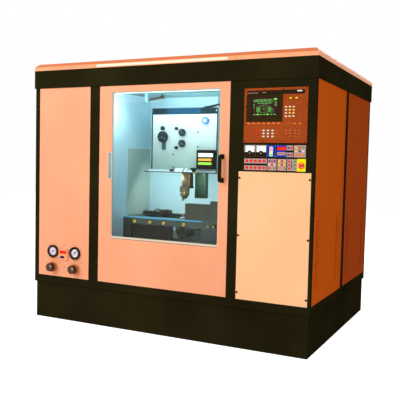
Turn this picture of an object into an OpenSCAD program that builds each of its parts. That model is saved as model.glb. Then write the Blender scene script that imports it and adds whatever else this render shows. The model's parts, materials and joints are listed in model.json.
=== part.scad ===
/* [Cabinet] */
// Overall depth of the cabinet without its fittings
cabinet_d = 1700; // [1640:10:1900]
// Height of the black plinth
plinth_h = 290; // [250:5:330]
// Step between the plinth and the panels above it
plinth_inset = 12; // [4:1:30]
// Height of the sill rail between plinth and panels
sill_h = 60; // [45:5:80]
// Height of the outer panels
panel_h = 1510; // [1480:10:1600]
// Height of the fascia band
fascia_h = 140; // [100:5:180]
// How far the fascia stands proud of the panels
fascia_proud = 8; // [3:1:20]
// Height of the roof cap
cap_h = 55; // [45:1:80]
// Height of the bevelled upper part of the cap
cap_bevel = 27; // [10:1:35]
// Thickness of the formed outer sheets
sheet_t = 2; // [1.5:0.1:3]
// Depth of the folded edges of the outer panels
panel_d = 22; // [16:1:30]

/* [Front bays] */
// Width of the left corner post
left_post_w = 50; // [35:1:70]
// Width of the left bay, which holds the dielectric unit
left_bay_w = 499; // [480:1:540]
// Width of the pillar between left bay and door
left_pillar_w = 81; // [60:1:100]
// Width of the door bay
door_bay_w = 1103; // [1090:1:1160]
// Width of the pillar between door and console
right_pillar_w = 74; // [60:1:100]
// Width of the right bay, which holds the console
right_bay_w = 516; // [500:1:600]
// Width of the right corner post
right_post_w = 27; // [20:1:50]
// Depth of the front corner posts
front_post_d = 35; // [25:1:60]
// Depth of the two pillars
pillar_d = 60; // [40:1:70]
// Width of the middle post of each side
side_mid_w = 75; // [50:1:100]

/* [Door] */
// Thickness of the door leaf
door_t = 26; // [22:1:30]
// Left stile, from leaf edge to window
left_stile = 122; // [100:1:150]
// Right stile, from window to leaf edge
right_stile = 74; // [60:1:100]
// Top rail, from window to leaf edge
top_rail = 45; // [35:1:60]
// Bottom rail, from leaf edge to window
bottom_rail = 357; // [300:1:380]
// Corner radius of the window
window_r = 14; // [8:1:30]
// Thickness of the safety glass
glass_t = 6; // [4:1:8]
// Radius of the pivot pins
pivot_r = 6; // [4:0.5:8]
// Length of the pull handle
handle_len = 190; // [140:5:240]
// Reach of the pull handle from the door
handle_reach = 48; // [35:1:56]
// Width of the pull handle's bar
handle_w = 25; // [18:1:30]

/* [Console] */
// Height of the console zone
console_h = 620; // [600:5:680]
// Thickness of the black console plate
console_t = 10; // [6:1:14]
// Thickness of the display panel
display_panel_t = 6; // [5:0.5:8]
// Radius of the emergency stop mushroom
stop_r = 20; // [16:1:23]

/* [Dielectric panel] */
// Diameter of the pressure gauges
gauge_dia = 100; // [80:2:110]
// Diameter of the regulator knobs
knob_dia = 80; // [60:2:90]
// Reach of the regulator knobs from the panel
knob_reach = 58; // [57:1:70]

/* [Machine] */
// Distance from the door plane back to the wire
wire_setback = 427; // [415:1:440]
// Height of the table top
table_top_z = 860; // [855:1:870]
// Width of the table
table_w = 828; // [800:2:840]
// Depth of the table
table_d = 500; // [490:1:505]
// Travel of the saddle to front and back
saddle_travel = 95; // [60:5:95]
// Side of the square ram
ram_w = 68; // [60:1:80]
// Height of the upper head above the floor
head_z = 1215; // [1210:1:1240]
// Width of the upper head
head_w = 592; // [560:2:620]
// Height of the upper head
head_h = 510; // [480:2:530]
// Inner diameter of the wire guide nozzle
nozzle_bore = 6; // [4:0.5:8]
// Diameter of the electrode wire
wire_dia = 0.3; // [0.2:0.05:0.4]
// Outer radius of the feed discs
disc_r = 29; // [26:1:32]
// Outer radius of the supply spool
spool_r = 45; // [40:1:48]

/* [Hidden] */
$fn = 48;

// Clearances and small common sizes
seam = 0.3;
reveal = 0.6;
run_fit = 0.05;
cut_over = 2;

// Main planes
cabinet_w = left_post_w + left_bay_w + left_pillar_w + door_bay_w
  + right_pillar_w + right_bay_w + right_post_w;
left_x = -cabinet_w / 2;
right_x = cabinet_w / 2;
body_left = left_x + fascia_proud;
body_right = right_x - fascia_proud;
front_y = -cabinet_d / 2 + fascia_proud;
rear_y = cabinet_d / 2 - fascia_proud;
sill_z = plinth_h + sill_h;
panel_top = sill_z + panel_h;
fascia_top = panel_top + fascia_h;
roof_z = fascia_top + cap_h;
left_bay_x0 = left_x + left_post_w;
left_bay_x1 = left_bay_x0 + left_bay_w;
door_x0 = left_bay_x1 + left_pillar_w;
door_x1 = door_x0 + door_bay_w;
right_bay_x0 = door_x1 + right_pillar_w;
right_bay_x1 = right_bay_x0 + right_bay_w;
side_y0 = front_y + front_post_d;
side_y1 = rear_y - front_post_d;
side_mid_y0 = -side_mid_w / 2;
side_mid_y1 = side_mid_w / 2;
rear_reach = knob_reach;

// Machine datum points
axis_offset = 6.5;
wire_offset = 22;
machine_x = (door_x0 + door_x1) / 2 - axis_offset;
wire_x = machine_x - wire_offset;
wire_y = front_y + wire_setback;
plate_gap = 15;
plate_y = wire_y + plate_gap;
chamber_back = 365;
back_wall_y = wire_y + chamber_back;
back_wall_t = 12;
column_gap = 50;
column_y = back_wall_y + column_gap;
bed_h = 310;
bed_z = plinth_h + bed_h;
tray_drop = 10;
tray_z = bed_z - tray_drop;
chamber_left_over = 15;
chamber_right_over = 17;
chamber_x0 = door_x0 - chamber_left_over;
chamber_x1 = door_x1 + chamber_right_over;
ceiling_drop = 10;
ceiling_z = panel_top - ceiling_drop;
liner_t = 4;

// Console zone
console_z0 = panel_top - console_h;
function console_x(s) = right_bay_x0 + s * right_bay_w;
function console_z(s) = console_z0 + s * console_h;

// General solids
module slab(lo, hi) {
  translate(lo) cube(hi - lo);
}

module rod_y(x, y0, y1, z, r) {
  translate([x, y0, z]) rotate([-90, 0, 0]) cylinder(r = r, h = y1 - y0);
}

module rod_z(x, y, z0, z1, r) {
  translate([x, y, z0]) cylinder(r = r, h = z1 - z0);
}

// Sheet tray with its face towards -Y at y and its folds towards +Y
module front_tray(x0, x1, z0, z1, y, d, t) {
  difference() {
    slab([x0, y, z0], [x1, y + d, z1]);
    slab([x0 + t, y + t, z0 + t], [x1 - t, y + d + cut_over, z1 - t]);
  }
}

module rounded_rect(w, h, r) {
  hull() {
    for (x = [r, w - r], z = [r, h - r]) translate([x, z]) circle(r = r);
  }
}

// Plate whose outline lies in the XZ plane, from y0 back to y1
module plate_xz(x0, z0, y0, y1) {
  translate([x0, y1, z0]) rotate([90, 0, 0]) linear_extrude(height = y1 - y0) children();
}

// Base
skirt_t = 8;
deck_t = 8;
anchor_w = 120;
anchor_t = 12;
anchor_hole_r = 9;
anchor_x = body_right - plinth_inset - 2 * anchor_w;
anchor_y = -front_y - plinth_inset - skirt_t - anchor_w / 2;

module base_frame() {
  x0 = body_left + plinth_inset;
  x1 = body_right - plinth_inset;
  y0 = front_y + plinth_inset;
  y1 = rear_y - plinth_inset;
  skirt_top = plinth_h - deck_t - seam;
  inner_y0 = y0 + skirt_t + seam;
  inner_y1 = y1 - skirt_t - seam;
  flange_y1 = inner_y0 + anchor_w;
  color("#231c18") {
    for (s = [0, 1]) mirror([0, s, 0]) {
      slab([x0, y0, 0], [x1, y0 + skirt_t, skirt_top]);
      difference() {
        for (x = [-anchor_x, anchor_x])
          slab([x - anchor_w / 2, inner_y0, 0], [x + anchor_w / 2, flange_y1, anchor_t]);
        for (x = [-anchor_x, anchor_x])
          rod_z(x, -anchor_y, -cut_over, anchor_t + cut_over, anchor_hole_r);
      }
    }
    for (s = [0, 1]) mirror([s, 0, 0]) slab([x0, inner_y0, 0], [x0 + skirt_t, inner_y1, skirt_top]);
    for (x = [door_x0, 0, door_x1])
      slab([x, inner_y0, anchor_t + seam], [x + skirt_t, inner_y1, skirt_top]);
    slab([x0, y0, plinth_h - deck_t], [x1, y1, plinth_h]);
  }
}

// Frame: posts stand on the sill rails and carry the top rails
rail_d = 50;
top_rail_h = 60;
tube_t = 4;

module post(x0, x1, y0, y1) {
  difference() {
    slab([x0, y0, sill_z], [x1, y1, panel_top]);
    slab([x0 + tube_t, y0 + tube_t, sill_z - cut_over],
      [x1 - tube_t, y1 - tube_t, panel_top + cut_over]);
  }
}

module frame_posts() {
  color("#231c18") {
    for (y = [front_y, rear_y - front_post_d]) {
      post(body_left, left_bay_x0, y, y + front_post_d);
      post(right_bay_x1, body_right, y, y + front_post_d);
    }
    for (y = [front_y, rear_y - pillar_d]) {
      post(left_bay_x1, door_x0, y, y + pillar_d);
      post(door_x1, right_bay_x0, y, y + pillar_d);
    }
    for (x = [body_left, body_right - rail_d]) post(x, x + rail_d, side_mid_y0, side_mid_y1);
  }
}

module rail_ring(z0, z1) {
  for (s = [0, 1]) mirror([0, s, 0]) difference() {
    slab([body_left, front_y, z0], [body_right, front_y + pillar_d, z1]);
    slab([body_left + tube_t, front_y + tube_t, z0 + tube_t],
      [body_right - tube_t, front_y + pillar_d + cut_over, z1 - tube_t]);
  }
  for (x = [body_left, body_right - rail_d]) difference() {
    slab([x, front_y + pillar_d + seam, z0], [x + rail_d, rear_y - pillar_d - seam, z1]);
    slab([x + tube_t, front_y, z0 + tube_t], [x + rail_d - tube_t, rear_y, z1 - tube_t]);
  }
}

// Pivot line of the door
pivot_x = door_x0 + door_t / 2 + cut_over;
pivot_y = front_y + door_t / 2;
pivot_len = 30;
washer_t = cut_over - seam;

module frame_rails() {
  color("#231c18") {
    rail_ring(plinth_h, sill_z);
    rail_ring(panel_top, panel_top + top_rail_h);
    rod_z(pivot_x, pivot_y, sill_z, sill_z + pivot_len, pivot_r);
    rod_z(pivot_x, pivot_y, sill_z, sill_z + washer_t, pivot_r * 1.8);
    rod_z(pivot_x, pivot_y, panel_top - pivot_len, panel_top, pivot_r);
  }
}

module fascia_band() {
  z0 = panel_top;
  z1 = fascia_top;
  t = fascia_proud;
  f = -cabinet_d / 2;
  color("#231c18") {
    for (s = [0, 1]) mirror([0, s, 0]) difference() {
      slab([left_x, f, z0], [right_x, f + panel_d, z1]);
      slab([left_x + t, f + t, z0 - cut_over],
        [right_x - t, f + panel_d + cut_over, z0 + top_rail_h]);
    }
    for (s = [0, 1]) mirror([s, 0, 0])
      slab([left_x, f + panel_d + seam, z0], [left_x + t, -f - panel_d - seam, z1]);
  }
}

// Roof cap: a tray upside down with bevelled edges and seams above the pillars
cap_seam = 2;

module cap_profile(half, h, bevel) {
  polygon([[-half, 0], [half, 0], [half, h - bevel],
    [half - bevel, h], [-half + bevel, h], [-half, h - bevel]]);
}

module roof_cap() {
  hw = cabinet_w / 2;
  hd = cabinet_d / 2;
  rim = cap_bevel + sheet_t;
  color("#f3b98c") difference() {
    intersection() {
      translate([0, hd, fascia_top]) rotate([90, 0, 0]) linear_extrude(height = cabinet_d)
        cap_profile(hw, cap_h, cap_bevel);
      translate([-hw, 0, fascia_top]) rotate([90, 0, 90]) linear_extrude(height = cabinet_w)
        cap_profile(hd, cap_h, cap_bevel);
    }
    slab([rim - hw, rim - hd, fascia_top - cut_over], [hw - rim, hd - rim, roof_z - sheet_t]);
    for (x = [(left_bay_x1 + door_x0) / 2, (door_x1 + right_bay_x0) / 2])
      for (s = [-1, 1]) translate([x, s * hd, fascia_top + cap_h / 2])
        cube([cap_seam, 2 * cap_seam, cap_h + cut_over], center = true);
    for (s = [-1, 1]) translate([s * hw, 0, fascia_top + cap_h / 2])
      cube([2 * cap_seam, cap_seam, cap_h + cut_over], center = true);
  }
}

// Left front panel with its gauge, regulator and meter positions
gauge_x_share = [0.301, 0.738];
gauge_up = 201;
knob_up = 75;
cell_up = 180;
gauge_z = sill_z + gauge_up;
knob_z = sill_z + knob_up;
stem_r = 12;
function left_x_at(s) = left_bay_x0 + s * left_bay_w;
cell_x_share = 0.507;
cell_x = left_x_at(cell_x_share);
cell_z = sill_z + cell_up;
cell_w = 90;

module left_front_panel() {
  color("#f7b183") difference() {
    front_tray(left_bay_x0 + reveal, left_bay_x1 - reveal, sill_z + reveal, panel_top - reveal,
      front_y, panel_d, sheet_t);
    for (s = gauge_x_share, z = [gauge_z, knob_z])
      rod_y(left_x_at(s), front_y - cut_over, front_y + panel_d, z, stem_r + seam);
  }
}

// Cover under the console with its quarter-turn fasteners
fastener_r = 7;
fastener_head_t = 4;
fastener_inset = 8;
fastener_z_share = [0.055, 0.502, 0.949];

module fastener_places() {
  for (x = [right_bay_x0 + fastener_inset + reveal, right_bay_x1 - fastener_inset - reveal],
       s = fastener_z_share)
    translate([x, 0, sill_z + s * (console_z0 - sill_z)]) children();
}

module lower_right_panel() {
  color("#fbbd8e") difference() {
    front_tray(right_bay_x0 + reveal, right_bay_x1 - reveal, sill_z + reveal, console_z0 - reveal,
      front_y, panel_d, sheet_t);
    fastener_places() rod_y(0, front_y - cut_over, front_y + panel_d, 0, fastener_r / 2);
  }
}

module panel_fasteners() {
  color("#17120f") fastener_places() union() {
    rod_y(0, front_y - fastener_head_t, front_y, 0, fastener_r);
    rod_y(0, front_y - seam, front_y + panel_d, 0, fastener_r / 2 - run_fit);
  }
}

// Side panels with two columns of louvres each
louvre_w = 95;
louvre_h = 8;
louvre_pitch = 26.7;
louvre_rows = 18;
louvre_proud = 6;
louvre_up = 107;
louvre_z0 = sill_z + louvre_up;
front_louvre_share = [0.143, 0.823];
rear_louvre_share = [0.153, 0.855];

// Slot through the +X face at x = 0
module louvre(y, z, over) {
  translate([0, y + louvre_w / 2, z]) rotate([90, 0, 0]) linear_extrude(height = louvre_w)
    polygon([[-over, 0], [over, 0], [over, louvre_h], [-over, louvre_h]]);
}

// Hood over a slot, open underneath
module louvre_hood(y, z) {
  translate([0, y + louvre_w / 2, z]) rotate([90, 0, 0]) linear_extrude(height = louvre_w)
    polygon([[-sheet_t / 2, 2 * louvre_h], [0, 2 * louvre_h], [louvre_proud, louvre_h / 2],
      [louvre_proud, 0], [louvre_proud - sheet_t, 0], [louvre_proud - sheet_t, louvre_h / 2],
      [-sheet_t / 2, 2 * louvre_h - sheet_t]]);
}

module side_panel(y0, y1, columns_share) {
  x = body_right;
  z0 = sill_z + reveal;
  z1 = panel_top - reveal;
  difference() {
    slab([x - panel_d, y0, z0], [x, y1, z1]);
    slab([x - panel_d - cut_over, y0 + sheet_t, z0 + sheet_t],
      [x - sheet_t, y1 - sheet_t, z1 - sheet_t]);
    for (s = columns_share, i = [0 : louvre_rows - 1])
      translate([x, 0, 0]) louvre(y0 + s * (y1 - y0), louvre_z0 + i * louvre_pitch, 2 * sheet_t);
  }
  for (s = columns_share, i = [0 : louvre_rows - 1])
    translate([x, 0, 0]) louvre_hood(y0 + s * (y1 - y0), louvre_z0 + i * louvre_pitch);
}

module side_panels() {
  color("#a54b1e") for (s = [0, 1]) mirror([s, 0, 0]) {
    side_panel(side_y0 + reveal, side_mid_y0 - reveal, front_louvre_share);
    side_panel(side_mid_y1 + reveal, side_y1 - reveal, rear_louvre_share);
  }
}

// Rear panels, the middle one with rows of vent slots at the top
vent_rows = 8;
vent_w = 180;
vent_h = 10;
vent_pitch = 32;
vent_drop = 330;
vent_z = panel_top - vent_drop;
vent_x_share = [0.2, 0.5, 0.8];

module rear_tray(x0, x1) {
  mirror([0, 1, 0]) front_tray(x0 + reveal, x1 - reveal, sill_z + reveal, panel_top - reveal,
    -rear_y, panel_d, sheet_t);
}

module rear_panels() {
  color("#a54b1e") {
    rear_tray(left_bay_x0, left_bay_x1);
    difference() {
      rear_tray(door_x0, door_x1);
      for (s = vent_x_share, i = [0 : vent_rows - 1])
        translate([door_x0 + s * door_bay_w, rear_y, vent_z + i * vent_pitch])
          cube([vent_w, panel_d, vent_h], center = true);
    }
    difference() {
      rear_tray(right_bay_x0, right_bay_x1);
      for (p = port_list)
        rod_y(p[0], rear_y - panel_d, rear_y + cut_over, p[1], p[2] + port_wall / 2 + seam);
    }
  }
}

// Work chamber
access_t = 6;
access_lead = 2;
access_drop = 457;
access_y0 = wire_y - access_lead;
access_top = panel_top - access_drop;
head_left = 331;
head_x0 = machine_x - head_left;
head_x1 = head_x0 + head_w;
head_top = head_z + head_h;
arm_w = 90;
arm_drop = 135;
arm_z0 = table_top_z - arm_drop;
arm_h = 60;

module chamber_liner() {
  y0 = front_y + pillar_d;
  y1 = back_wall_y;
  b0 = back_wall_y + seam;
  b1 = back_wall_y + back_wall_t;
  color("#dfe9ea") {
    slab([chamber_x0 - liner_t, y0 + seam, tray_z], [chamber_x0, y1, ceiling_z]);
    slab([chamber_x1, y0 + seam, tray_z], [chamber_x1 + liner_t, y1, ceiling_z]);
    slab([chamber_x0 - liner_t, y0 + seam, ceiling_z + seam],
      [chamber_x1 + liner_t, b1, panel_top - seam]);
    slab([chamber_x0 + seam, access_y0, bed_z + seam], [chamber_x0 + access_t, y1 - seam, access_top]);
    slab([chamber_x0 - liner_t, b0, bed_z + seam], [head_x0 - seam, b1, ceiling_z]);
    slab([head_x1 + seam, b0, bed_z + seam], [chamber_x1 + liner_t, b1, ceiling_z]);
    slab([head_x0, b0, head_top + seam], [head_x1, b1, ceiling_z]);
    slab([head_x0, b0, arm_z0 + arm_h + seam], [head_x1, b1, head_z - seam]);
    slab([head_x0, b0, bed_z + seam], [wire_x - arm_w / 2 - seam, b1, arm_z0 + arm_h]);
    slab([wire_x + arm_w / 2 + seam, b0, bed_z + seam], [head_x1, b1, arm_z0 + arm_h]);
  }
}

tray_side_w = 110;
bed_x0 = chamber_x0 + tray_side_w;
bed_x1 = chamber_x1 - tray_side_w;
bed_setback = 82;
bed_back = 430;
bed_y0 = front_y + bed_setback;
bed_y1 = column_y + bed_back;
bed_wall = 40;
rail_gauge = 500;
rail_w = 30;
rail_h = 25;
saddle_front = 215;
saddle_back = 205;
saddle_y0 = wire_y - saddle_front;
saddle_y1 = wire_y + saddle_back;

module chamber_tray() {
  y0 = front_y + door_t + cut_over;
  y1 = front_y + pillar_d + seam;
  z0 = tray_z - sheet_t;
  z1 = tray_z - seam;
  color("#9fb4b5") {
    slab([chamber_x0 - liner_t, y1, z0], [bed_x0 - seam, back_wall_y, z1]);
    slab([bed_x1 + seam, y1, z0], [chamber_x1 + liner_t, back_wall_y, z1]);
    slab([door_x0 + seam, y0, z0], [door_x1 - seam, bed_y0 - seam, z1]);
  }
}

module machine_bed() {
  color("#6f7f7d") {
    difference() {
      slab([bed_x0, bed_y0, plinth_h], [bed_x1, bed_y1, bed_z]);
      slab([bed_x0 + bed_wall, bed_y0 + bed_wall, plinth_h - cut_over],
        [bed_x1 - bed_wall, bed_y1 - bed_wall, bed_z - bed_wall]);
    }
    for (s = [-1, 1]) translate([machine_x + s * rail_gauge / 2, 0, 0])
      slab([-rail_w / 2, saddle_y0 - saddle_travel - seam, bed_z],
        [rail_w / 2, min(saddle_y1 + saddle_travel + seam, back_wall_y - seam), bed_z + rail_h]);
  }
}

// Column behind the chamber, and the head and arm that it carries
column_w = 480;
column_d = 400;
column_h = 1200;
column_wall = 30;
head_wall = 12;
plate_t = 8;
ram_x = wire_x;
ram_y = plate_y + plate_t + head_wall + seam + ram_w / 2;

module column() {
  x0 = machine_x - column_w / 2;
  x1 = machine_x + column_w / 2;
  z1 = bed_z + column_h;
  color("#8b9a97") difference() {
    slab([x0, column_y, bed_z], [x1, column_y + column_d, z1]);
    slab([x0 + column_wall, column_y + column_wall, bed_z - cut_over],
      [x1 - column_wall, column_y + column_d - column_wall, z1 - column_wall]);
  }
}

ram_guide_y = ram_y + ram_w / 2 + seam;
ram_hole = ram_w + 2 * seam;
manifold_right = 22;
manifold_x0 = machine_x + manifold_right;
manifold_w = 90;
manifold_back = 115;
manifold_y0 = wire_y + manifold_back;
manifold_d = 60;
manifold_h = 210;

module head_housing() {
  w = head_wall;
  y0 = plate_y + plate_t;
  color("#e8eeee") {
    slab([head_x0, plate_y, head_z], [head_x1, y0, head_top]);
    difference() {
      slab([head_x0 + w, y0, head_z], [head_x1 - w, column_y, head_top - w]);
      slab([head_x0 + 2 * w, y0 + w, head_z + w],
        [head_x1 - 2 * w, column_y + cut_over, head_top - 2 * w]);
      translate([ram_x, ram_y, head_z]) cube([ram_hole, ram_hole, 3 * w], center = true);
    }
    slab([head_x0 + 2 * w, ram_guide_y, head_z + w],
      [head_x1 - 2 * w, ram_guide_y + w, head_top - 2 * w]);
    slab([manifold_x0, manifold_y0, head_z - manifold_h],
      [manifold_x0 + manifold_w, manifold_y0 + manifold_d, head_z - seam]);
  }
}

// Dark trim of the head: header band, edges, ledge, fixed guide posts and screws
trim_t = 4;
edge_w = 8;
header_h = 50;
ledge_over = 45;
ledge_d = 38;
ledge_t = 6;
post_share = [[0.390, 0.678], [0.392, 0.378]];
screw_share = [[0.709, 0.620], [0.713, 0.396], [0.343, 0.273], [0.346, 0.069]];
guide_post_r = 12;
guide_post_h = 18;
screw_r = 6;
function head_x(s) = head_x0 + s * head_w;
function head_z_at(s) = head_z + s * head_h;

// Fixed axle of a disc: a collar behind it, the shaft through it and a cap in front
module axle(x, z) {
  cap = 3;
  back = wire_y + disc_t / 2 + seam;
  front = wire_y - disc_t / 2 - seam;
  rod_y(x, back, plate_y, z, 1.6 * axle_r);
  rod_y(x, front - cap, plate_y, z, axle_r);
  rod_y(x, front - cap, front, z, 1.6 * axle_r);
}

module head_trim() {
  y = plate_y - trim_t;
  color("#0f2b33") {
    difference() {
      slab([head_x0, y, head_z], [head_x1, plate_y, head_top]);
      slab([head_x0 + edge_w, y - cut_over, head_z - cut_over],
        [head_x1 - edge_w, plate_y + cut_over, head_top - header_h]);
    }
    difference() {
      slab([head_x0 - ledge_over, plate_y - ledge_d, head_z - ledge_t - seam],
        [head_x1, plate_y + plate_t, head_z - seam]);
      rod_z(wire_x, wire_y, head_z - 2 * ledge_t, head_z + ledge_t, nozzle_bore);
      translate([ram_x, ram_y, head_z]) cube([ram_hole, ram_hole, 4 * ledge_t], center = true);
    }
    for (p = post_share)
      rod_y(head_x(p[0]), plate_y - guide_post_h, plate_y, head_z_at(p[1]), guide_post_r);
    for (p = screw_share) rod_y(head_x(p[0]), plate_y - trim_t, plate_y, head_z_at(p[1]), screw_r);
    axle(head_x(spool_share[0]), head_z_at(spool_share[1]));
    axle(head_x(roller_share[0]), head_z_at(roller_share[1]));
    axle(upper_x, upper_z);
    axle(lower_x, lower_z);
    rod_y(head_x(arm_share[0]), plate_y - tension_t - 2 * cut_over, plate_y,
      head_z_at(arm_share[1]), axle_r);
    rod_y(head_x(tension_knob_share[0]), plate_y - tension_knob_h / 2, plate_y,
      head_z_at(tension_knob_share[1]), axle_r);
  }
}

// Lower arm with the lower wire guide at its tip
guide_r = 30;
guide_bore = 22;
guide_drop = 10;
guide_top = table_top_z - guide_drop;
arm_lead = 34;
arm_tip_y = wire_y - arm_lead;

module lower_arm() {
  color("#aeb6b4") difference() {
    union() {
      slab([wire_x - arm_w / 2, arm_tip_y, arm_z0], [wire_x + arm_w / 2, column_y, arm_z0 + arm_h]);
      rod_z(wire_x, wire_y, arm_z0 + arm_h, guide_top, guide_r);
    }
    rod_z(wire_x, wire_y, arm_z0 - cut_over, guide_top + cut_over, guide_bore);
  }
}

readout_share = [0.730, 0.053, 0.260, 0.294];
readout_d = 40;

module position_readout() {
  s = readout_share;
  x0 = head_x(s[0]);
  x1 = min(head_x(s[0] + s[2]), head_x1 - edge_w - seam);
  z0 = head_z_at(s[1]);
  z1 = head_z_at(s[1] + s[3]);
  color("#15120f") difference() {
    slab([x0, plate_y - readout_d, z0], [x1, plate_y, z1]);
    slab([x0 + edge_w, plate_y - readout_d - cut_over, z0 + 2 * edge_w],
      [x1 - edge_w, plate_y - readout_d + trim_t, z1 - 2 * edge_w]);
  }
}

// Lamp under the ceiling and the two stays behind it
lamp_w = 900;
lamp_h = 44;
lamp_d = 80;
lamp_wall = 4;
lamp_gap = 20;
lamp_tube_r = 15;

module work_lamp() {
  x = machine_x;
  y0 = front_y + pillar_d + lamp_gap;
  z0 = ceiling_z - lamp_h;
  color("#f4fbff") union() {
    slab([x - lamp_w / 2, y0, ceiling_z - lamp_wall], [x + lamp_w / 2, y0 + lamp_d, ceiling_z]);
    for (s = [-1, 1]) translate([x + s * (lamp_w / 2 - lamp_wall), y0 + lamp_d / 2, z0 + lamp_h / 2])
      cube([2 * lamp_wall, lamp_d, lamp_h], center = true);
    translate([x - lamp_w / 2, y0 + lamp_d / 2, z0 + lamp_h / 2]) rotate([0, 90, 0])
      cylinder(r = lamp_tube_r, h = lamp_w);
  }
}

// The left stay hangs from the ceiling, the right one stands on the head
stay_r = 9;
stay_foot = 24;
stay_run = 250;
stay_rise = 50;
stay_x_share = [0.04, 0.80];
stay_lead = 112;
stay_lag = 41;
stay_drop = 72;

// Rod from [x, y, z] up to the rear; its front block spans low to high
module stay_strut(x, y, z, low, high) {
  f = stay_foot / 2;
  slab([x - f, y - f, low], [x + f, y + f, high]);
  translate([x, y, z]) rotate([atan(stay_rise / stay_run) - 90, 0, 0])
    cylinder(r = stay_r, h = norm([stay_run, stay_rise]));
  slab([x - f, y + stay_run - f, z + stay_rise - f], [x + f, y + stay_run + f, ceiling_z]);
}

module stay_struts() {
  z0 = ceiling_z - stay_drop;
  z1 = head_top - head_wall + seam;
  color("#12100e") {
    stay_strut(head_x(stay_x_share[0]), wire_y - stay_lead, z0, z0 - stay_foot / 2, ceiling_z);
    stay_strut(head_x(stay_x_share[1]), wire_y + stay_lag, z1 + stay_foot / 2, z1, z1 + stay_foot);
  }
}

// Saddle, with the table's rails on it
saddle_w = 700;
saddle_t = 40;
table_base_z = bed_z + rail_h + seam + saddle_t + rail_h + seam;
table_base_t = 22;
block_w = 70;

module saddle() {
  z0 = bed_z + rail_h + seam;
  z1 = z0 + saddle_t;
  color("#2a2b2b") {
    slab([machine_x - saddle_w / 2, saddle_y0, z0], [machine_x + saddle_w / 2, saddle_y1, z1]);
    for (s = [-1, 1], t = [-1, 1]) translate([machine_x + s * rail_gauge / 2, 0, 0])
      slab([t > 0 ? rail_w / 2 + seam : -block_w / 2, saddle_y0, bed_z + seam],
        [t > 0 ? block_w / 2 : -rail_w / 2 - seam, saddle_y1, z0]);
    for (y = [saddle_y0 + rail_w, saddle_y1 - 2 * rail_w])
      slab([machine_x - saddle_w / 2, y, z1], [machine_x + saddle_w / 2, y + rail_w, z1 + rail_h]);
  }
}

// Table: base plate, two cheeks and the open clamping frame
table_x0 = machine_x - table_w / 2;
table_x1 = machine_x + table_w / 2;
table_setback = 162;
table_y0 = front_y + table_setback;
table_y1 = table_y0 + table_d;
cheek_w = 56;
frame_h = 58;
beam_d = 60;
side_beam_w = 114;
motor_r = 48;
motor_right = 112;
motor_x = machine_x + motor_right;
box_right = 257;
box_gap = 10;
motor_z = table_base_z + table_base_t + motor_r + 2 * seam;

module table() {
  z0 = table_base_z;
  z1 = z0 + table_base_t;
  zf = table_top_z - frame_h;
  color("#33413f") {
    difference() {
      union() {
        slab([table_x0, table_y0 + beam_d / 2, z0], [table_x1, table_y1, z1]);
        slab([table_x0, table_y0, z0], [table_x0 + cheek_w, table_y1, zf]);
        slab([table_x1 - cheek_w, table_y0, z0], [table_x1, table_y1, zf]);
        slab([table_x0, table_y0, zf], [table_x1, table_y1, table_top_z]);
      }
      slab([table_x0 + side_beam_w, table_y0 + beam_d, zf - cut_over],
        [table_x1 - side_beam_w, table_y1 - beam_d, table_top_z + cut_over]);
      for (x = [table_x0 + side_beam_w / 2, table_x1 - side_beam_w / 2])
        slab([x - slot_w / 2, table_y0 + slot_w, table_top_z - slot_w],
          [x + slot_w / 2, table_y1 - slot_w, table_top_z + cut_over]);
    }
    rod_y(motor_x, table_y0 + beam_d / 6, table_y0 + 2 * beam_d, motor_z, motor_r);
    slab([machine_x + box_right, table_y0 + beam_d / 3, z1 + seam],
      [table_x1 - cheek_w - seam, table_y0 + 2 * beam_d, zf - box_gap]);
  }
}

// Work clamps: front jaw, low bar clamps and brass screws along the front beam
slot_w = 14;
jaw_right = 126;
jaw_w = 269;
jaw_x0 = machine_x + jaw_right;
jaw_x1 = jaw_x0 + jaw_w;
jaw_setback = 20;
jaw_h = 122;
jaw_d = 60;
brass_r = 11;
brass_len = 16;
brass_drop = 35;
brass_share = [0.133, 0.300, 0.449, 0.658, 0.908, 0.961];
clamp_h = 26;
clamp_w = 46;
clamp_len = 150;

module work_clamps() {
  jy = table_y0 + jaw_setback;
  cx = table_x0 + side_beam_w / 2 - clamp_w / 2;
  color("#2e3330") {
    union() {
      slab([jaw_x0, jy, table_top_z + seam], [jaw_x1, jy + jaw_d, table_top_z + jaw_h]);
      slab([jaw_x1 - jaw_d, jy, table_top_z + jaw_h],
        [jaw_x1, jy + jaw_d / 2, table_top_z + jaw_h + clamp_h]);
    }
    for (y = [table_y1 - beam_d, table_y1 - 4 * beam_d])
      slab([cx, y - clamp_w / 2, table_top_z + seam],
        [cx + clamp_len, y + clamp_w / 2, table_top_z + clamp_h]);
  }
  color("#d9a520") for (s = brass_share)
    rod_y(table_x0 + s * table_w, table_y0 - brass_len, table_y0 - seam, table_top_z - brass_drop, brass_r);
}

// Ram, V slide and guide head; each hangs from the one before
ram_hang = 114;
ram_z0 = head_z - ram_hang;
ram_len = 470;
v_plate_h = 16;
v_plate_w = 80;
guide_body_r = 41;
guide_body_h = 50;
guide_cone_h = 34;
nozzle_h = 14;
nozzle_r = 9;
guide_back = 23;
guide_y = wire_y + guide_back;
v_back = 12;
guide_head_top = ram_z0 - v_plate_h - 2 * seam;

module z_ram() {
  r = ram_w / 2;
  color("#6d6258") slab([ram_x - r, ram_y - r, ram_z0], [ram_x + r, ram_y + r, ram_z0 + ram_len]);
}

module v_slide() {
  color("#4a4a48")
    slab([ram_x - v_plate_w / 2, wire_y + v_back, ram_z0 - seam - v_plate_h],
      [ram_x + v_plate_w / 2, ram_y + ram_w / 2, ram_z0 - seam]);
}

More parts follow.
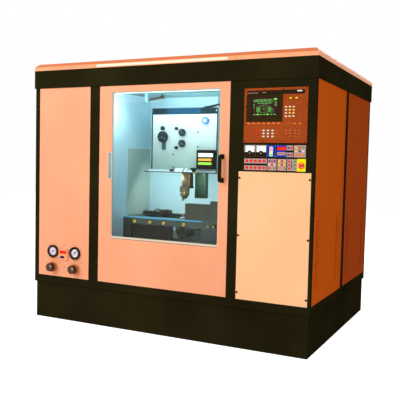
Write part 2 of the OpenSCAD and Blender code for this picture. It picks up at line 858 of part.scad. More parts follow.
module guide_head() {
  z0 = guide_head_top;
  z1 = z0 - guide_body_h;
  z2 = z1 - guide_cone_h;
  color("#cfd6d8") {
    difference() {
      union() {
        translate([wire_x, guide_y, z1]) cylinder(r = guide_body_r, h = guide_body_h, $fn = 8);
        translate([wire_x, wire_y, z2]) cylinder(r1 = nozzle_r, r2 = 2 * nozzle_r, h = guide_cone_h);
        translate([wire_x, wire_y, z2 - nozzle_h]) cylinder(r = nozzle_r, h = nozzle_h + cut_over);
      }
      rod_z(wire_x, wire_y, z2 - 2 * nozzle_h, z0 + cut_over, nozzle_bore / 2);
    }
  }
}

// Wire drive on the head plate
wire_r = 24;
disc_t = 14;
axle_r = 5;
spool_share = [0.184, 0.545];
roller_share = [0.182, 0.684];
roller_r = 17;
roller_groove = 14;
spool_groove = 9;
wire_clear = 0.2;
wire_lift = wire_dia / 2 + wire_clear;
upper_x = wire_x - wire_r - wire_lift;
upper_z = head_z_at(0.616);
lower_x = upper_x;
lower_z = head_z_at(0.445);

// Grooved disc that turns on a fixed axle; its groove lies in the wire's plane
module grooved_disc(x, z, r, groove_r) {
  g = disc_t / 4;
  translate([x, wire_y, z]) rotate([90, 0, 0]) rotate_extrude()
    polygon([[axle_r + run_fit, -disc_t / 2], [r, -disc_t / 2], [r, -g], [groove_r, -g / 3],
      [groove_r, g / 3], [r, g], [r, disc_t / 2], [axle_r + run_fit, disc_t / 2]]);
}

module supply_spool() {
  color("#1d1d1f")
    grooved_disc(head_x(spool_share[0]), head_z_at(spool_share[1]), spool_r, spool_r - spool_groove);
}

module upper_feed_disc() {
  color("#26272a") grooved_disc(upper_x, upper_z, disc_r, wire_r);
}

module lower_feed_disc() {
  color("#26272a") grooved_disc(lower_x, lower_z, disc_r, wire_r);
}

module guide_roller() {
  color("#3a3c40")
    grooved_disc(head_x(roller_share[0]), head_z_at(roller_share[1]), roller_r, roller_groove);
}

arm_share = [0.193, 0.375];
tension_len = 34;
tension_r = 18;
tension_tip_r = 16;
tension_t = 7;

module tension_arm() {
  x = head_x(arm_share[0]);
  z = head_z_at(arm_share[1]);
  color("#1d1d1f") difference() {
    union() {
      rod_y(x, plate_y - seam - tension_t, plate_y - seam, z, tension_r);
      rod_y(x, plate_y - seam - tension_t, plate_y - seam, z + tension_len, tension_tip_r);
      slab([x - tension_tip_r, plate_y - seam - tension_t, z],
        [x + tension_tip_r, plate_y - seam, z + tension_len]);
    }
    rod_y(x, plate_y - tension_t - cut_over, plate_y + cut_over, z, axle_r + run_fit);
  }
}

tension_knob_share = [0.826, 0.796];
tension_knob_r = 27;
tension_knob_h = 22;

module tension_knob() {
  x = head_x(tension_knob_share[0]);
  z = head_z_at(tension_knob_share[1]);
  color("#9cc4ff") difference() {
    rod_y(x, plate_y - seam - tension_knob_h, plate_y - seam, z, tension_knob_r);
    rod_y(x, plate_y - seam - tension_knob_h / 2, plate_y + cut_over, z, axle_r + run_fit);
  }
}

// Electrode wire, from the spool over the roller, the post and the upper disc, then straight down.
// Each stop is a centre and the radius of the wire's path round it.
bend_steps = 8;
function head_point(share) = [head_x(share[0]), head_z_at(share[1])];
wire_stops = [
  [head_point(spool_share), spool_r - spool_groove + wire_lift],
  [head_point(roller_share), roller_groove + wire_lift],
  [head_point(post_share[0]), guide_post_r + wire_lift],
  [[upper_x, upper_z], wire_r + wire_lift]
];
last_stop = len(wire_stops) - 1;

// Angle at which the wire leaves stop i; it leaves the last one straight down
function leave_angle(i) = i == last_stop ? 0 :
  let (a = wire_stops[i], b = wire_stops[i + 1], way = b[0] - a[0])
  atan2(way[1], way[0]) + acos((a[1] - b[1]) / norm(way));
function bend(i) = [for (k = [0 : bend_steps])
  let (a0 = leave_angle(i - 1), a = a0 + k * (leave_angle(i) - a0) / bend_steps)
  wire_stops[i][0] + wire_stops[i][1] * [cos(a), sin(a)]];
wire_route = concat(
  [wire_stops[0][0] + wire_stops[0][1] * [cos(leave_angle(0)), sin(leave_angle(0))]],
  [for (i = [1 : last_stop]) each bend(i)],
  [[wire_x, lower_z], [wire_x, arm_z0]]
);

wire_sides = 8;
wire_end = len(wire_route) - 1;

// Ring of points round the route's point i, square to the route there
function wire_ring(i) = let (
  d = wire_route[min(i + 1, wire_end)] - wire_route[max(i - 1, 0)],
  n = [-d[1], d[0]] / norm(d)
) [for (k = [0 : wire_sides - 1]) let (a = k * 360 / wire_sides)
  [wire_route[i][0] + n[0] * cos(a) * wire_dia / 2, wire_y + sin(a) * wire_dia / 2,
   wire_route[i][1] + n[1] * cos(a) * wire_dia / 2]];

module electrode_wire() {
  n = wire_sides;
  points = [for (i = [0 : wire_end]) each wire_ring(i)];
  sides = [for (i = [0 : wire_end - 1], k = [0 : n - 1])
    let (a = i * n + k, b = i * n + (k + 1) % n) each [[a, b, b + n], [a, b + n, a + n]]];
  ends = [[for (k = [n - 1 : -1 : 0]) k], [for (k = [0 : n - 1]) wire_end * n + k]];
  color("#d8b24a") polyhedron(points = points, faces = concat(sides, ends));
}

// Console: black plate, display panel and monitor
crt_share = [0.180, 0.600, 0.361, 0.206];
bezel_share = [0.097, 0.544, 0.496, 0.290];
panel_share = [0.064, 0.315, 0.866, 0.592];
crt_d = 260;
bezel_proud = 6;
screen_recess = 5;
display_y = front_y - display_panel_t;

module share_slab(s, y0, y1, grow) {
  slab([console_x(s[0]) - grow, y0, console_z(s[1]) - grow],
    [console_x(s[0] + s[2]) + grow, y1, console_z(s[1] + s[3]) + grow]);
}

module console_plate() {
  color("#1b1613") difference() {
    slab([right_bay_x0 + reveal, front_y, console_z0 + reveal],
      [right_bay_x1 - reveal, front_y + console_t, panel_top - reveal]);
    share_slab(crt_share, front_y - cut_over, front_y + console_t + cut_over, seam);
  }
}

// Keys of the display panel, as shares of the console zone
soft_key_share = [for (i = [0 : 6]) [0.132 + i * 0.0695, 0.526]];
keypad_share = concat(
  [[0.700, 0.792], [0.778, 0.792], [0.764, 0.522], [0.830, 0.522]],
  [for (x = [0.643, 0.693, 0.743], z = [0.700, 0.667, 0.635, 0.600]) [x, z]],
  [[0.204, 0.449], [0.262, 0.449], [0.262, 0.417], [0.262, 0.384]],
  [for (x = [0.345, 0.406, 0.468], z = [0.449, 0.417, 0.384]) [x, z]],
  [for (x = [0.654, 0.705, 0.775, 0.825], z = [0.450, 0.419]) [x, z]]
);
soft_key_w = 22;
soft_key_h = 11;
keypad_w = 17;
keypad_h = 12;
key_proud = 2.5;
key_travel = 1.5;
key_depth = display_panel_t - key_travel - seam;

module key_blocks(list, w, h, y0, y1) {
  for (p = list) translate([console_x(p[0]), 0, console_z(p[1])])
    slab([-w / 2, y0, -h / 2], [w / 2, y1, h / 2]);
}

module display_panel() {
  color("#a8542b") difference() {
    share_slab(panel_share, display_y, front_y - seam, 0);
    share_slab(crt_share, display_y - cut_over, front_y + cut_over, seam);
    key_blocks(soft_key_share, soft_key_w + 2 * seam, soft_key_h + 2 * seam,
      display_y - cut_over, front_y + cut_over);
    key_blocks(keypad_share, keypad_w + 2 * seam, keypad_h + 2 * seam,
      display_y - cut_over, front_y + cut_over);
  }
}

module crt_monitor() {
  color("#8a4a2c") difference() {
    union() {
      share_slab(bezel_share, display_y - bezel_proud, display_y - seam, 0);
      share_slab(crt_share, display_y - seam, front_y + crt_d, 0);
    }
    share_slab(crt_share, display_y - bezel_proud - cut_over, display_y - bezel_proud + screen_recess, -seam);
  }
}

module soft_keys() {
  color("#ff9b52")
    key_blocks(soft_key_share, soft_key_w, soft_key_h, display_y - key_proud, display_y + key_depth);
}

module keypad_keys() {
  color("#f4efdc") key_blocks(keypad_share, keypad_w, keypad_h, display_y - key_proud, display_y + key_depth);
}

// Instrument rows, as shares of the console zone: place, then width and height
meter_share = [[0.078, 0.163, 0.158, 0.129], [0.237, 0.163, 0.158, 0.129]];
module_share = [
  [0.399, 0.163, 0.120, 0.129], [0.533, 0.163, 0.130, 0.129], [0.667, 0.237, 0.085, 0.052],
  [0.667, 0.166, 0.085, 0.048], [0.764, 0.163, 0.155, 0.129], [0.083, 0.090, 0.316, 0.053],
  [0.083, 0.018, 0.316, 0.050], [0.413, 0.018, 0.120, 0.125], [0.548, 0.018, 0.120, 0.125],
  [0.680, 0.018, 0.126, 0.125], [0.809, 0.013, 0.116, 0.135]
];
third_share = [0.2, 0.5, 0.8];
// Square buttons: the module that holds each, then its place as shares of that module
pad_share = concat(
  [for (m = [2, 3], x = [0.28, 0.72]) [m, x, 0.5]],
  [for (x = third_share, z = third_share) [4, x, z]],
  [for (m = [7, 8], x = third_share, z = third_share) if (x != 0.5 || z != 0.2) [m, x, z]],
  [for (x = [0.2, 0.8], z = third_share) [9, x, z]]
);
strip_share = [for (m = [5, 6], i = [0 : 4]) [m, 0.12 + i * 0.19, 0.5]];
module_t = 6;
module_y = front_y - module_t;
pad_w = 13;
strip_r = 10;
stop_plate = 10;
stop_stem_r = 11;
stop_travel = 4;
stop_share = [0.5, 0.46];
stop_cap_t = 9;

function on_module(p) = [console_x(module_share[p[0]][0] + p[1] * module_share[p[0]][2]), 0,
  console_z(module_share[p[0]][1] + p[2] * module_share[p[0]][3])];

module pad_blocks(grow, y0, y1) {
  for (p = pad_share) translate(on_module(p))
    slab([-pad_w / 2 - grow, y0, -pad_w / 2 - grow], [pad_w / 2 + grow, y1, pad_w / 2 + grow]);
}

module strip_rods(grow, y0, y1) {
  for (p = strip_share) translate(on_module(p)) rod_y(0, y0, y1, 0, strip_r + grow);
}

module module_plates() {
  color("#b9a7a0") difference() {
    for (s = module_share) share_slab(s, module_y, front_y - seam, 0);
    pad_blocks(seam, module_y - cut_over, front_y + cut_over);
    strip_rods(seam, module_y - cut_over, front_y + cut_over);
    translate(on_module(concat([stop_plate], stop_share)))
      rod_y(0, module_y - cut_over, front_y + cut_over, 0, stop_stem_r + seam);
  }
}

module pad_buttons() {
  color("#e8432a") pad_blocks(0, module_y - key_proud, module_y + module_t - key_travel - 2 * seam);
}

module strip_buttons() {
  color("#e8281c")
    strip_rods(0, module_y - key_proud - key_travel, module_y + module_t - key_travel - 2 * seam);
}

module stop_button() {
  y1 = module_y - stop_travel - seam;
  color("#d8201a") translate(on_module(concat([stop_plate], stop_share))) union() {
    rod_y(0, y1 - stop_cap_t, y1, 0, stop_r);
    rod_y(0, y1 - stop_cap_t / 2, module_y + module_t - stop_travel - seam, 0, stop_stem_r);
  }
}

// Moving-coil meters
meter_t = 8;
dial_depth = 5;
dial_split_share = 0.4;
spindle_r = 1.5;
spindle_gap = 1;
needle_gap = 2;
needle_t = 1;
meter_rest = 38;
needle_w = 2;

module meter_at(s) {
  translate([console_x(s[0] + s[2] / 2), front_y - meter_t, console_z(s[1] + dial_split_share * s[3])])
    children();
}

module panel_meters() {
  color("#ece7dc") for (s = meter_share) {
    difference() {
      share_slab(s, front_y - meter_t, front_y - seam, 0);
      share_slab([s[0] + 0.06 * s[2], s[1] + dial_split_share * s[3], 0.88 * s[2], 0.54 * s[3]],
        front_y - meter_t - cut_over, front_y - meter_t + dial_depth, 0);
      meter_at(s) rod_y(0, -cut_over, dial_depth, 0, 3 * needle_w);
    }
    meter_at(s) rod_y(0, spindle_gap, dial_depth + seam, 0, spindle_r);
  }
}

module meter_needle(s) {
  reach = 0.42 * s[3] * console_h;
  color("#30201c") meter_at(s) rotate([0, -meter_rest, 0]) difference() {
    union() {
      rod_y(0, needle_gap, needle_gap + needle_t, 0, 2 * needle_w);
      slab([-needle_w / 4, needle_gap, 0], [needle_w / 4, needle_gap + needle_t, reach]);
      slab([-needle_w, needle_gap, -2.5 * needle_w], [needle_w, needle_gap + needle_t, 0]);
    }
    rod_y(0, 0, dial_depth, 0, spindle_r + run_fit);
  }
}

module left_meter_needle() {
  meter_needle(meter_share[0]);
}

module right_meter_needle() {
  meter_needle(meter_share[1]);
}

// Gauges and regulators of the left bay
gauge_t = 16;
gauge_rim = 7;
gauge_recess = 9;
regulator_collar = 12;
regulator_spindle_r = 8;
gauge_pin_r = 2;
regulator_skirt = 10;

module air_fittings() {
  color("#1f1a17") for (s = gauge_x_share) translate([left_x_at(s), 0, 0]) {
    difference() {
      rod_y(0, front_y - gauge_t, front_y - seam, gauge_z, gauge_dia / 2);
      rod_y(0, front_y - gauge_t - cut_over, front_y - gauge_t + gauge_recess, gauge_z,
        gauge_dia / 2 - gauge_rim);
    }
    rod_y(0, front_y - seam, front_y + 2 * panel_d, gauge_z, stem_r);
    rod_y(0, front_y - gauge_t + needle_gap, front_y - gauge_t + gauge_recess, gauge_z, gauge_pin_r);
    rod_y(0, front_y - regulator_collar, front_y - seam, knob_z, knob_dia / 3);
    rod_y(0, front_y - knob_reach / 2, front_y + 2 * panel_d, knob_z, regulator_spindle_r);
  }
}

module gauge_needle(s) {
  y = front_y - gauge_t + gauge_recess / 2;
  reach = gauge_dia / 2 - gauge_rim - 2 * needle_gap;
  color("#b0413a") translate([left_x_at(s), y, gauge_z]) rotate([0, 225, 0]) difference() {
    union() {
      rod_y(0, 0, needle_t, 0, 3 * gauge_pin_r);
      slab([-needle_w / 2, 0, 0], [needle_w / 2, needle_t, reach]);
      slab([-2 * needle_w, 0, -8 * needle_w], [2 * needle_w, needle_t, 0]);
    }
    rod_y(0, -cut_over, needle_t + cut_over, 0, gauge_pin_r + run_fit);
  }
}

module left_gauge_needle() {
  gauge_needle(gauge_x_share[0]);
}

module right_gauge_needle() {
  gauge_needle(gauge_x_share[1]);
}

module regulator_knob(s) {
  y1 = front_y - regulator_collar - seam;
  grip = knob_dia / 2;
  color("#2a211c") translate([left_x_at(s), 0, knob_z]) difference() {
    union() {
      rod_y(0, y1 - regulator_skirt, y1, 0, grip);
      translate([0, front_y - knob_reach, 0]) rotate([-90, 0, 0])
        cylinder(r = 0.86 * grip, h = y1 - regulator_skirt + knob_reach - front_y, $fn = 12);
    }
    rod_y(0, front_y - knob_reach / 2 - seam, front_y, 0, regulator_spindle_r + run_fit);
  }
}

module left_regulator_knob() {
  regulator_knob(gauge_x_share[0]);
}

module right_regulator_knob() {
  regulator_knob(gauge_x_share[1]);
}

// Conductivity meter with its reset button
cell_t = 8;
window_share = [0.14, 0.60, 0.72, 0.26];
reset_share = [0.19, 0.19, 0.42, 0.19];
corner_share = 0.44;
reset_travel = 2;

module meter_part(s, y0, y1, grow) {
  x = cell_x - cell_w / 2;
  z = cell_z - cell_w / 2;
  slab([x + s[0] * cell_w - grow, y0, z + s[1] * cell_w - grow],
    [x + (s[0] + s[2]) * cell_w + grow, y1, z + (s[1] + s[3]) * cell_w + grow]);
}

module conductivity_meter() {
  y = front_y - cell_t;
  color("#241d19") {
    difference() {
      meter_part([0, 0, 1, 1], y, front_y - seam, 0);
      meter_part(window_share, y - cut_over, y + cut_over, 0);
      meter_part(reset_share, y - cut_over, front_y, seam);
    }
    for (i = [-1, 1], j = [-1, 1])
      rod_y(cell_x + i * corner_share * cell_w, y - cut_over, y,
        cell_z + j * corner_share * cell_w, 2 * cut_over);
  }
}

module reset_button() {
  color("#22306e")
    meter_part(reset_share, front_y - cell_t - reset_travel, front_y - reset_travel - 2 * seam, 0);
}

// Generator rack behind the lower right panel
rack_wall = 3;
rack_gap = 40;
rack_units = 5;
rack_side_gap = 8;
rack_x0 = right_bay_x0 + rack_side_gap;
rack_x1 = body_right - rail_d - rack_side_gap;
rack_y0 = front_y + pillar_d + rack_gap;
rack_y1 = side_mid_y0 - rack_gap;
rack_top = console_z0 - rack_gap;
unit_h = (rack_top - plinth_h - rack_wall) / rack_units;

module generator_rack() {
  color("#7d8486") {
    difference() {
      slab([rack_x0, rack_y0, plinth_h], [rack_x1, rack_y1, rack_top]);
      for (i = [0 : rack_units - 1])
        slab([rack_x0 + rack_wall, rack_y0 - cut_over, plinth_h + rack_wall + i * unit_h],
          [rack_x1 - rack_wall, rack_y1 - rack_wall, plinth_h + (i + 1) * unit_h]);
    }
    for (i = [0 : rack_units - 1]) difference() {
      z0 = plinth_h + rack_wall + i * unit_h + seam;
      z1 = plinth_h + (i + 1) * unit_h - rack_gap;
      slab([rack_x0 + rack_wall + seam, rack_y0 + rack_wall, z0],
        [rack_x1 - rack_wall - seam, rack_y1 - rack_gap, z1]);
      slab([rack_x0 + 3 * rack_wall, rack_y0 + 3 * rack_wall, z0 + rack_wall],
        [rack_x1 - 3 * rack_wall, rack_y1 - rack_gap - rack_wall, z1 + cut_over]);
    }
  }
}

// Dielectric unit in the left bay
tank_wall = 4;
tank_h = 430;
tank_gap = 10;
tank_x0 = body_left + rail_d + tank_gap;
tank_x1 = left_bay_x1 - tank_gap;
tank_y0 = front_y + 3 * pillar_d;
tank_y1 = side_mid_y0 - 2 * tank_gap;
tank_top = plinth_h + tank_h;
filter_r = 95;
filter_h = 420;
pump_r = 60;
pump_h = 240;
resin_r = 80;

module dielectric_tank() {
  color("#b8c2c4") {
    difference() {
      slab([tank_x0, tank_y0, plinth_h], [tank_x1, tank_y1, tank_top - tank_wall]);
      slab([tank_x0 + tank_wall, tank_y0 + tank_wall, plinth_h + tank_wall],
        [tank_x1 - tank_wall, tank_y1 - tank_wall, tank_top]);
    }
    slab([tank_x0, tank_y0, tank_top - tank_wall + seam], [tank_x1, tank_y1, tank_top]);
  }
}

module filters_and_pump() {
  x = (tank_x0 + tank_x1) / 2;
  z = tank_top + seam;
  gap = 1.25 * filter_r;
  color("#d9d4c8") {
    for (y = [tank_y0 + 1.2 * filter_r, tank_y0 + 3.6 * filter_r]) union() {
      rod_z(x - gap / 2, y, z, z + filter_h, filter_r);
      rod_z(x - gap / 2, y, z + filter_h - cut_over, z + filter_h + filter_r / 4, filter_r / 2);
    }
    rod_z(x + gap, tank_y0 + 1.2 * filter_r, z, z + pump_h, pump_r);
    rod_z(x + gap, tank_y0 + 3.6 * filter_r, z, z + 1.5 * filter_h, resin_r);
  }
}

// Rear services: isolator box, cable gland and the air and water ports
gland_bore = 12;
water_bore = 10;
air_bore = 6;
port_wall = 7;
port_len = 40;
port_up = 160;
port_z = sill_z + port_up;
port_x_share = [0.2, 0.5, 0.7, 0.9];
port_bore = [gland_bore, water_bore, water_bore, air_bore];
port_list = [for (i = [0 : len(port_bore) - 1]) [console_x(port_x_share[i]), port_z, port_bore[i]]];
isolator_x = console_x(port_x_share[1]);
isolator_w = 130;
isolator_h = 190;

module service_ports() {
  color("#4b4f50") {
    for (p = port_list) difference() {
      union() {
        rod_y(p[0], rear_y + seam, rear_y + port_len, p[1], p[2] + port_wall);
        rod_y(p[0], rear_y - panel_d, rear_y + port_len, p[1], p[2] + port_wall / 2);
      }
      rod_y(p[0], rear_y - panel_d - cut_over, rear_y + port_len + cut_over, p[1], p[2]);
    }
    slab([isolator_x - isolator_w / 2, rear_y + seam, port_z + 2 * isolator_h],
      [isolator_x + isolator_w / 2, rear_y + rear_reach, port_z + 3 * isolator_h]);
  }
}

// Door leaf: a sheet-metal leaf with a rounded hinge edge and a rebated window
leaf_x0 = pivot_x;
leaf_x1 = door_x1 - cut_over;
leaf_z0 = sill_z + cut_over;
leaf_z1 = panel_top - cut_over;
window_x0 = door_x0 + cut_over + left_stile;
window_x1 = leaf_x1 - right_stile;
window_z0 = leaf_z0 + bottom_rail;
window_z1 = leaf_z1 - top_rail;
window_w = window_x1 - window_x0;
window_h = window_z1 - window_z0;
grip_w = 29;
grip_z_share = [0.404, 0.583];
rebate = 10;
glass_setback = 10;
glass_y = front_y + glass_setback;
leaf_wall = 3;

module window_outline(grow) {
  translate([-grow, -grow]) rounded_rect(window_w + 2 * grow, window_h + 2 * grow, window_r);
}

module door_leaf() {
  g0 = grip_z_share[0] * window_h;
  g1 = grip_z_share[1] * window_h;
  color("#f7b183") difference() {
    union() {
      slab([leaf_x0, front_y, leaf_z0], [leaf_x1, front_y + door_t, leaf_z1]);
      rod_z(pivot_x, pivot_y, leaf_z0, leaf_z1, door_t / 2);
    }
    plate_xz(window_x0, window_z0, front_y - cut_over, glass_y + seam) union() {
      window_outline(0);
      translate([-grip_w, g0]) square([2 * grip_w, g1 - g0]);
    }
    plate_xz(window_x0, window_z0, glass_y, front_y + door_t + cut_over)
      translate([-rebate - grip_w, -rebate]) square([window_w + 2 * rebate + grip_w, window_h + 2 * rebate]);
    for (z = [leaf_z0 - cut_over, leaf_z1 - pivot_len])
      rod_z(pivot_x, pivot_y, z, z + pivot_len + cut_over, pivot_r + run_fit);
    slab([leaf_x0 + door_t, front_y + leaf_wall, leaf_z0 + leaf_wall],
      [leaf_x1 - leaf_wall, front_y + door_t + cut_over, window_z0 - rebate - leaf_wall]);
  }
}

module door_glass() {
  inset = rebate - seam;
  color([0.75, 0.9, 0.9, 0.3])
    slab([window_x0 - inset - grip_w, glass_y, window_z0 - inset],
      [window_x1 + inset, glass_y + glass_t, window_z1 + inset]);
}

handle_in = 23;
handle_up = 546;
handle_x = window_x1 + handle_in;
handle_z = window_z0 + handle_up;
handle_bar_t = 18;

module door_handle() {
  z0 = handle_z - handle_len / 2;
  z1 = handle_z + handle_len / 2;
  y0 = front_y - handle_reach;
  x0 = handle_x - handle_w / 2;
  x1 = handle_x + handle_w / 2;
  color("#171210") union() {
    slab([x0, y0, z0], [x1, y0 + handle_bar_t, z1]);
    slab([x0, y0, z0], [x1, front_y - seam, z0 + handle_w]);
    slab([x0, y0, z1 - handle_w], [x1, front_y - seam, z1]);
  }
}

base_frame();
frame_posts();
frame_rails();
fascia_band();
roof_cap();
left_front_panel();
lower_right_panel();
panel_fasteners();
side_panels();
rear_panels();
chamber_liner();
chamber_tray();
work_lamp();
stay_struts();
machine_bed();
column();
head_housing();
head_trim();
lower_arm();
position_readout();
electrode_wire();
console_plate();
display_panel();
crt_monitor();
panel_meters();
module_plates();
air_fittings();
conductivity_meter();
generator_rack();
dielectric_tank();
filters_and_pump();
service_ports();
door_leaf();
door_glass();
door_handle();
saddle();
table();
work_clamps();
z_ram();
v_slide();
guide_head();
supply_spool();
upper_feed_disc();
lower_feed_disc();
guide_roller();
tension_arm();
tension_knob();
left_gauge_needle();
right_gauge_needle();
left_regulator_knob();
right_regulator_knob();
left_meter_needle();
right_meter_needle();
stop_button();
reset_button();
soft_keys();
keypad_keys();
strip_buttons();
pad_buttons();
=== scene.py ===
"""Looks of a wire EDM machine: finishes for every sub-part, and the fine pieces that sit on them."""
import json
import math

import bmesh
import bpy
from mathutils import Matrix, Vector


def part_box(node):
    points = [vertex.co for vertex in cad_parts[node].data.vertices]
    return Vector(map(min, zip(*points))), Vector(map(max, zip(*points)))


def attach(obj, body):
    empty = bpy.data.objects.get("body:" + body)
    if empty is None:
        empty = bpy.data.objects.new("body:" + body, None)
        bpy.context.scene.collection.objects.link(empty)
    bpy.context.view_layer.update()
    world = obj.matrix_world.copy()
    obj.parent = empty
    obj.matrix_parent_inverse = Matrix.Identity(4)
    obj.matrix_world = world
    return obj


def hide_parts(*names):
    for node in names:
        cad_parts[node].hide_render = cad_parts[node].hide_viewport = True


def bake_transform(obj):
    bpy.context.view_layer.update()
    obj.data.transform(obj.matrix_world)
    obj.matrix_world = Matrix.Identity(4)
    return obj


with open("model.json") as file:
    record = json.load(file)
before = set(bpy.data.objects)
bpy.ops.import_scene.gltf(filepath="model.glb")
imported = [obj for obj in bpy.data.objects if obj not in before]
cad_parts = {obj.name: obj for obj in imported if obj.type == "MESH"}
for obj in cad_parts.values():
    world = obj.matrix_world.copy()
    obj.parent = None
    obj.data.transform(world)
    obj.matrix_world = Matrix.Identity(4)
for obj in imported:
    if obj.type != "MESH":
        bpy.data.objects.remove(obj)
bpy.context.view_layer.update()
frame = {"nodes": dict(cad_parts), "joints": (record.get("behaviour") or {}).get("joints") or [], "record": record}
NODES = frame["nodes"]
JOINTS = {j["name"]: j for j in frame["joints"]}
MM = 0.001

# Camera, fitted to the cabinet's corners in the photograph
CAMERA_PLACE = Vector((2.3165, -4.8129, 1.2921))
CAMERA_AZIMUTH, CAMERA_DOWN, CAMERA_ROLL = math.radians(26.46), math.radians(3.42), math.radians(1.3)
CAMERA_LENS, CAMERA_SENSOR = 56.15, 36

# Faces that pieces sit on, in millimetres
BAY_FACE, GAUGE_FLOOR, GAUGE_GLASS = -842, -849, -858
DOOR_FACE, REAR_FACE, CAP_FACE = -842, 842, -850
HEAD_FACE, DISC_FACE, READOUT_FACE = -404, -422, -436
LEFT_WALL, LEDGE_TOP = -554, 1215
WIRE_X, WIRE_Y = -22, -415
BOTH = (-1, 1)


# Finishes

def seen(colour):
    """A colour written as the eye sees it, 0 to 255, as the renderer's linear one."""
    def linear(c):
        c /= 255
        return c / 12.92 if c <= 0.04045 else ((c + 0.055) / 1.055) ** 2.4
    return tuple(linear(c) for c in colour) + (1.0,)


def dimmed(colour, share):
    return tuple(c * share for c in colour[:3]) + (1.0,)


class Shader:
    """A material being put together from nodes."""

    def __init__(self, name):
        self.material = bpy.data.materials.new(name)
        self.material.use_nodes = True
        self.tree = self.material.node_tree
        self.tree.nodes.clear()
        self.surface = self.add("ShaderNodeBsdfPrincipled")
        self.link(self.surface.outputs[0], self.add("ShaderNodeOutputMaterial").inputs[0])
        self.place = self.add("ShaderNodeTexCoord").outputs["Object"]

    def add(self, kind, inputs=(), **values):
        node = self.tree.nodes.new(kind)
        for key, value in values.items():
            setattr(node, key, value)
        for key, value in dict(inputs).items():
            node.inputs[key].default_value = value
        return node

    def link(self, a, b):
        self.tree.links.new(a, b)

    def set(self, **values):
        for key, value in values.items():
            self.surface.inputs[key.replace("_", " ")].default_value = value

    def feed(self, **values):
        for key, value in values.items():
            self.link(value, self.surface.inputs[key.replace("_", " ")])

    def noise(self, scale, detail=3.0, stretch=None):
        place = self.place
        if stretch:
            mapping = self.add("ShaderNodeMapping", {"Scale": stretch})
            self.link(place, mapping.inputs["Vector"])
            place = mapping.outputs[0]
        node = self.add("ShaderNodeTexNoise", {"Scale": scale, "Detail": detail, "Roughness": 0.5})
        self.link(place, node.inputs["Vector"])
        return node.outputs["Fac"]

    def ramp(self, value, low, high, out_low=0.0, out_high=1.0):
        node = self.add("ShaderNodeMapRange",
                        {"From Min": low, "From Max": high, "To Min": out_low, "To Max": out_high})
        self.link(value, node.inputs["Value"])
        return node.outputs[0]

    def join(self, sockets, values):
        for socket, value in zip(sockets, values):
            if isinstance(value, (int, float, tuple)):
                socket.default_value = value
            else:
                self.link(value, socket)

    def blend(self, amount, a, b):
        node = self.add("ShaderNodeMix", data_type="RGBA")
        self.join((node.inputs[0], node.inputs[6], node.inputs[7]), (amount, a, b))
        return node.outputs[2]

    def maths(self, kind, a, b):
        node = self.add("ShaderNodeMath", operation=kind)
        self.join(node.inputs, (a, b))
        return node.outputs[0]

    def along(self, axis):
        split = self.add("ShaderNodeSeparateXYZ")
        self.link(self.place, split.inputs[0])
        return split.outputs[axis]

    def soft_edges(self, radius):
        return self.add("ShaderNodeBevel", {"Radius": radius}, samples=4).outputs[0]

    def edge_mask(self, radius):
        """1 along an edge and 0 on open faces."""
        dot = self.add("ShaderNodeVectorMath", operation="DOT_PRODUCT")
        self.link(self.soft_edges(radius), dot.inputs[0])
        self.link(self.add("ShaderNodeNewGeometry").outputs["Normal"], dot.inputs[1])
        return self.ramp(dot.outputs["Value"], 0.995, 0.8)

    def bump(self, height, strength, distance, radius):
        node = self.add("ShaderNodeBump", {"Strength": strength, "Distance": distance})
        self.link(height, node.inputs["Height"])
        self.link(self.soft_edges(radius), node.inputs["Normal"])
        self.feed(Normal=node.outputs[0])

    def painted(self, tone, rough, gloss):
        """The film of a sprayed paint: faint orange peel and an uneven gloss."""
        self.feed(Base_Color=tone, Roughness=self.ramp(self.noise(9, 6), 0.3, 0.75, rough - 0.06,
                                                       rough + 0.1))
        self.set(Specular_IOR_Level=gloss)
        self.bump(self.noise(420, 2), 0.12, 0.4 * MM, 1.6 * MM)


def enamel(name, colour, deep, rough, gloss=0.3, coat=0.0, edge=None):
    """Sprayed and baked paint: broad tone, and worn edges where an edge colour is given."""
    s = Shader(name)
    tone = s.blend(s.ramp(s.noise(1.7, 4), 0.35, 0.7), seen(colour), seen(deep))
    if edge:
        worn = s.maths("MULTIPLY", s.edge_mask(3 * MM), s.ramp(s.noise(24, 5), 0.42, 0.7))
        tone = s.blend(worn, tone, seen(edge))
    s.painted(tone, rough, gloss)
    s.set(Coat_Weight=coat, Coat_Roughness=0.2)
    return s.material


def faded(name, low_tone, high_tone, axis, start, end, rough, gloss, ragged=0.04):
    """Enamel whose tone goes over from one place to another along one axis: painted light and shade, for how light
    falls on the part.
    """
    s = Shader(name)
    uneven = s.maths("ADD", s.along(axis), s.ramp(s.noise(3, 4), 0.3, 0.7, -ragged, ragged))
    s.painted(s.blend(s.ramp(uneven, start, end), seen(low_tone), seen(high_tone)), rough, gloss)
    return s.material


def stay_enamel(name, rod, block, front_end, back_end, edge_width):
    """Black rods whose end blocks are painted a darker tone of the wall's white: painted shade, so that they read
    like the wall around them.
    """
    s = Shader(name)
    y = s.maths("ADD", s.along("Y"), s.ramp(s.noise(90, 3), 0.3, 0.7, -0.001, 0.001))
    ends = s.maths("MAXIMUM", s.ramp(y, front_end, front_end - edge_width),
                   s.ramp(y, back_end, back_end + edge_width))
    s.feed(Base_Color=s.blend(ends, seen(rod), seen(block)))
    s.set(Roughness=0.5, Specular_IOR_Level=0.05)
    s.bump(s.noise(420, 2), 0.12, 0.4 * MM, 1 * MM)
    return s.material


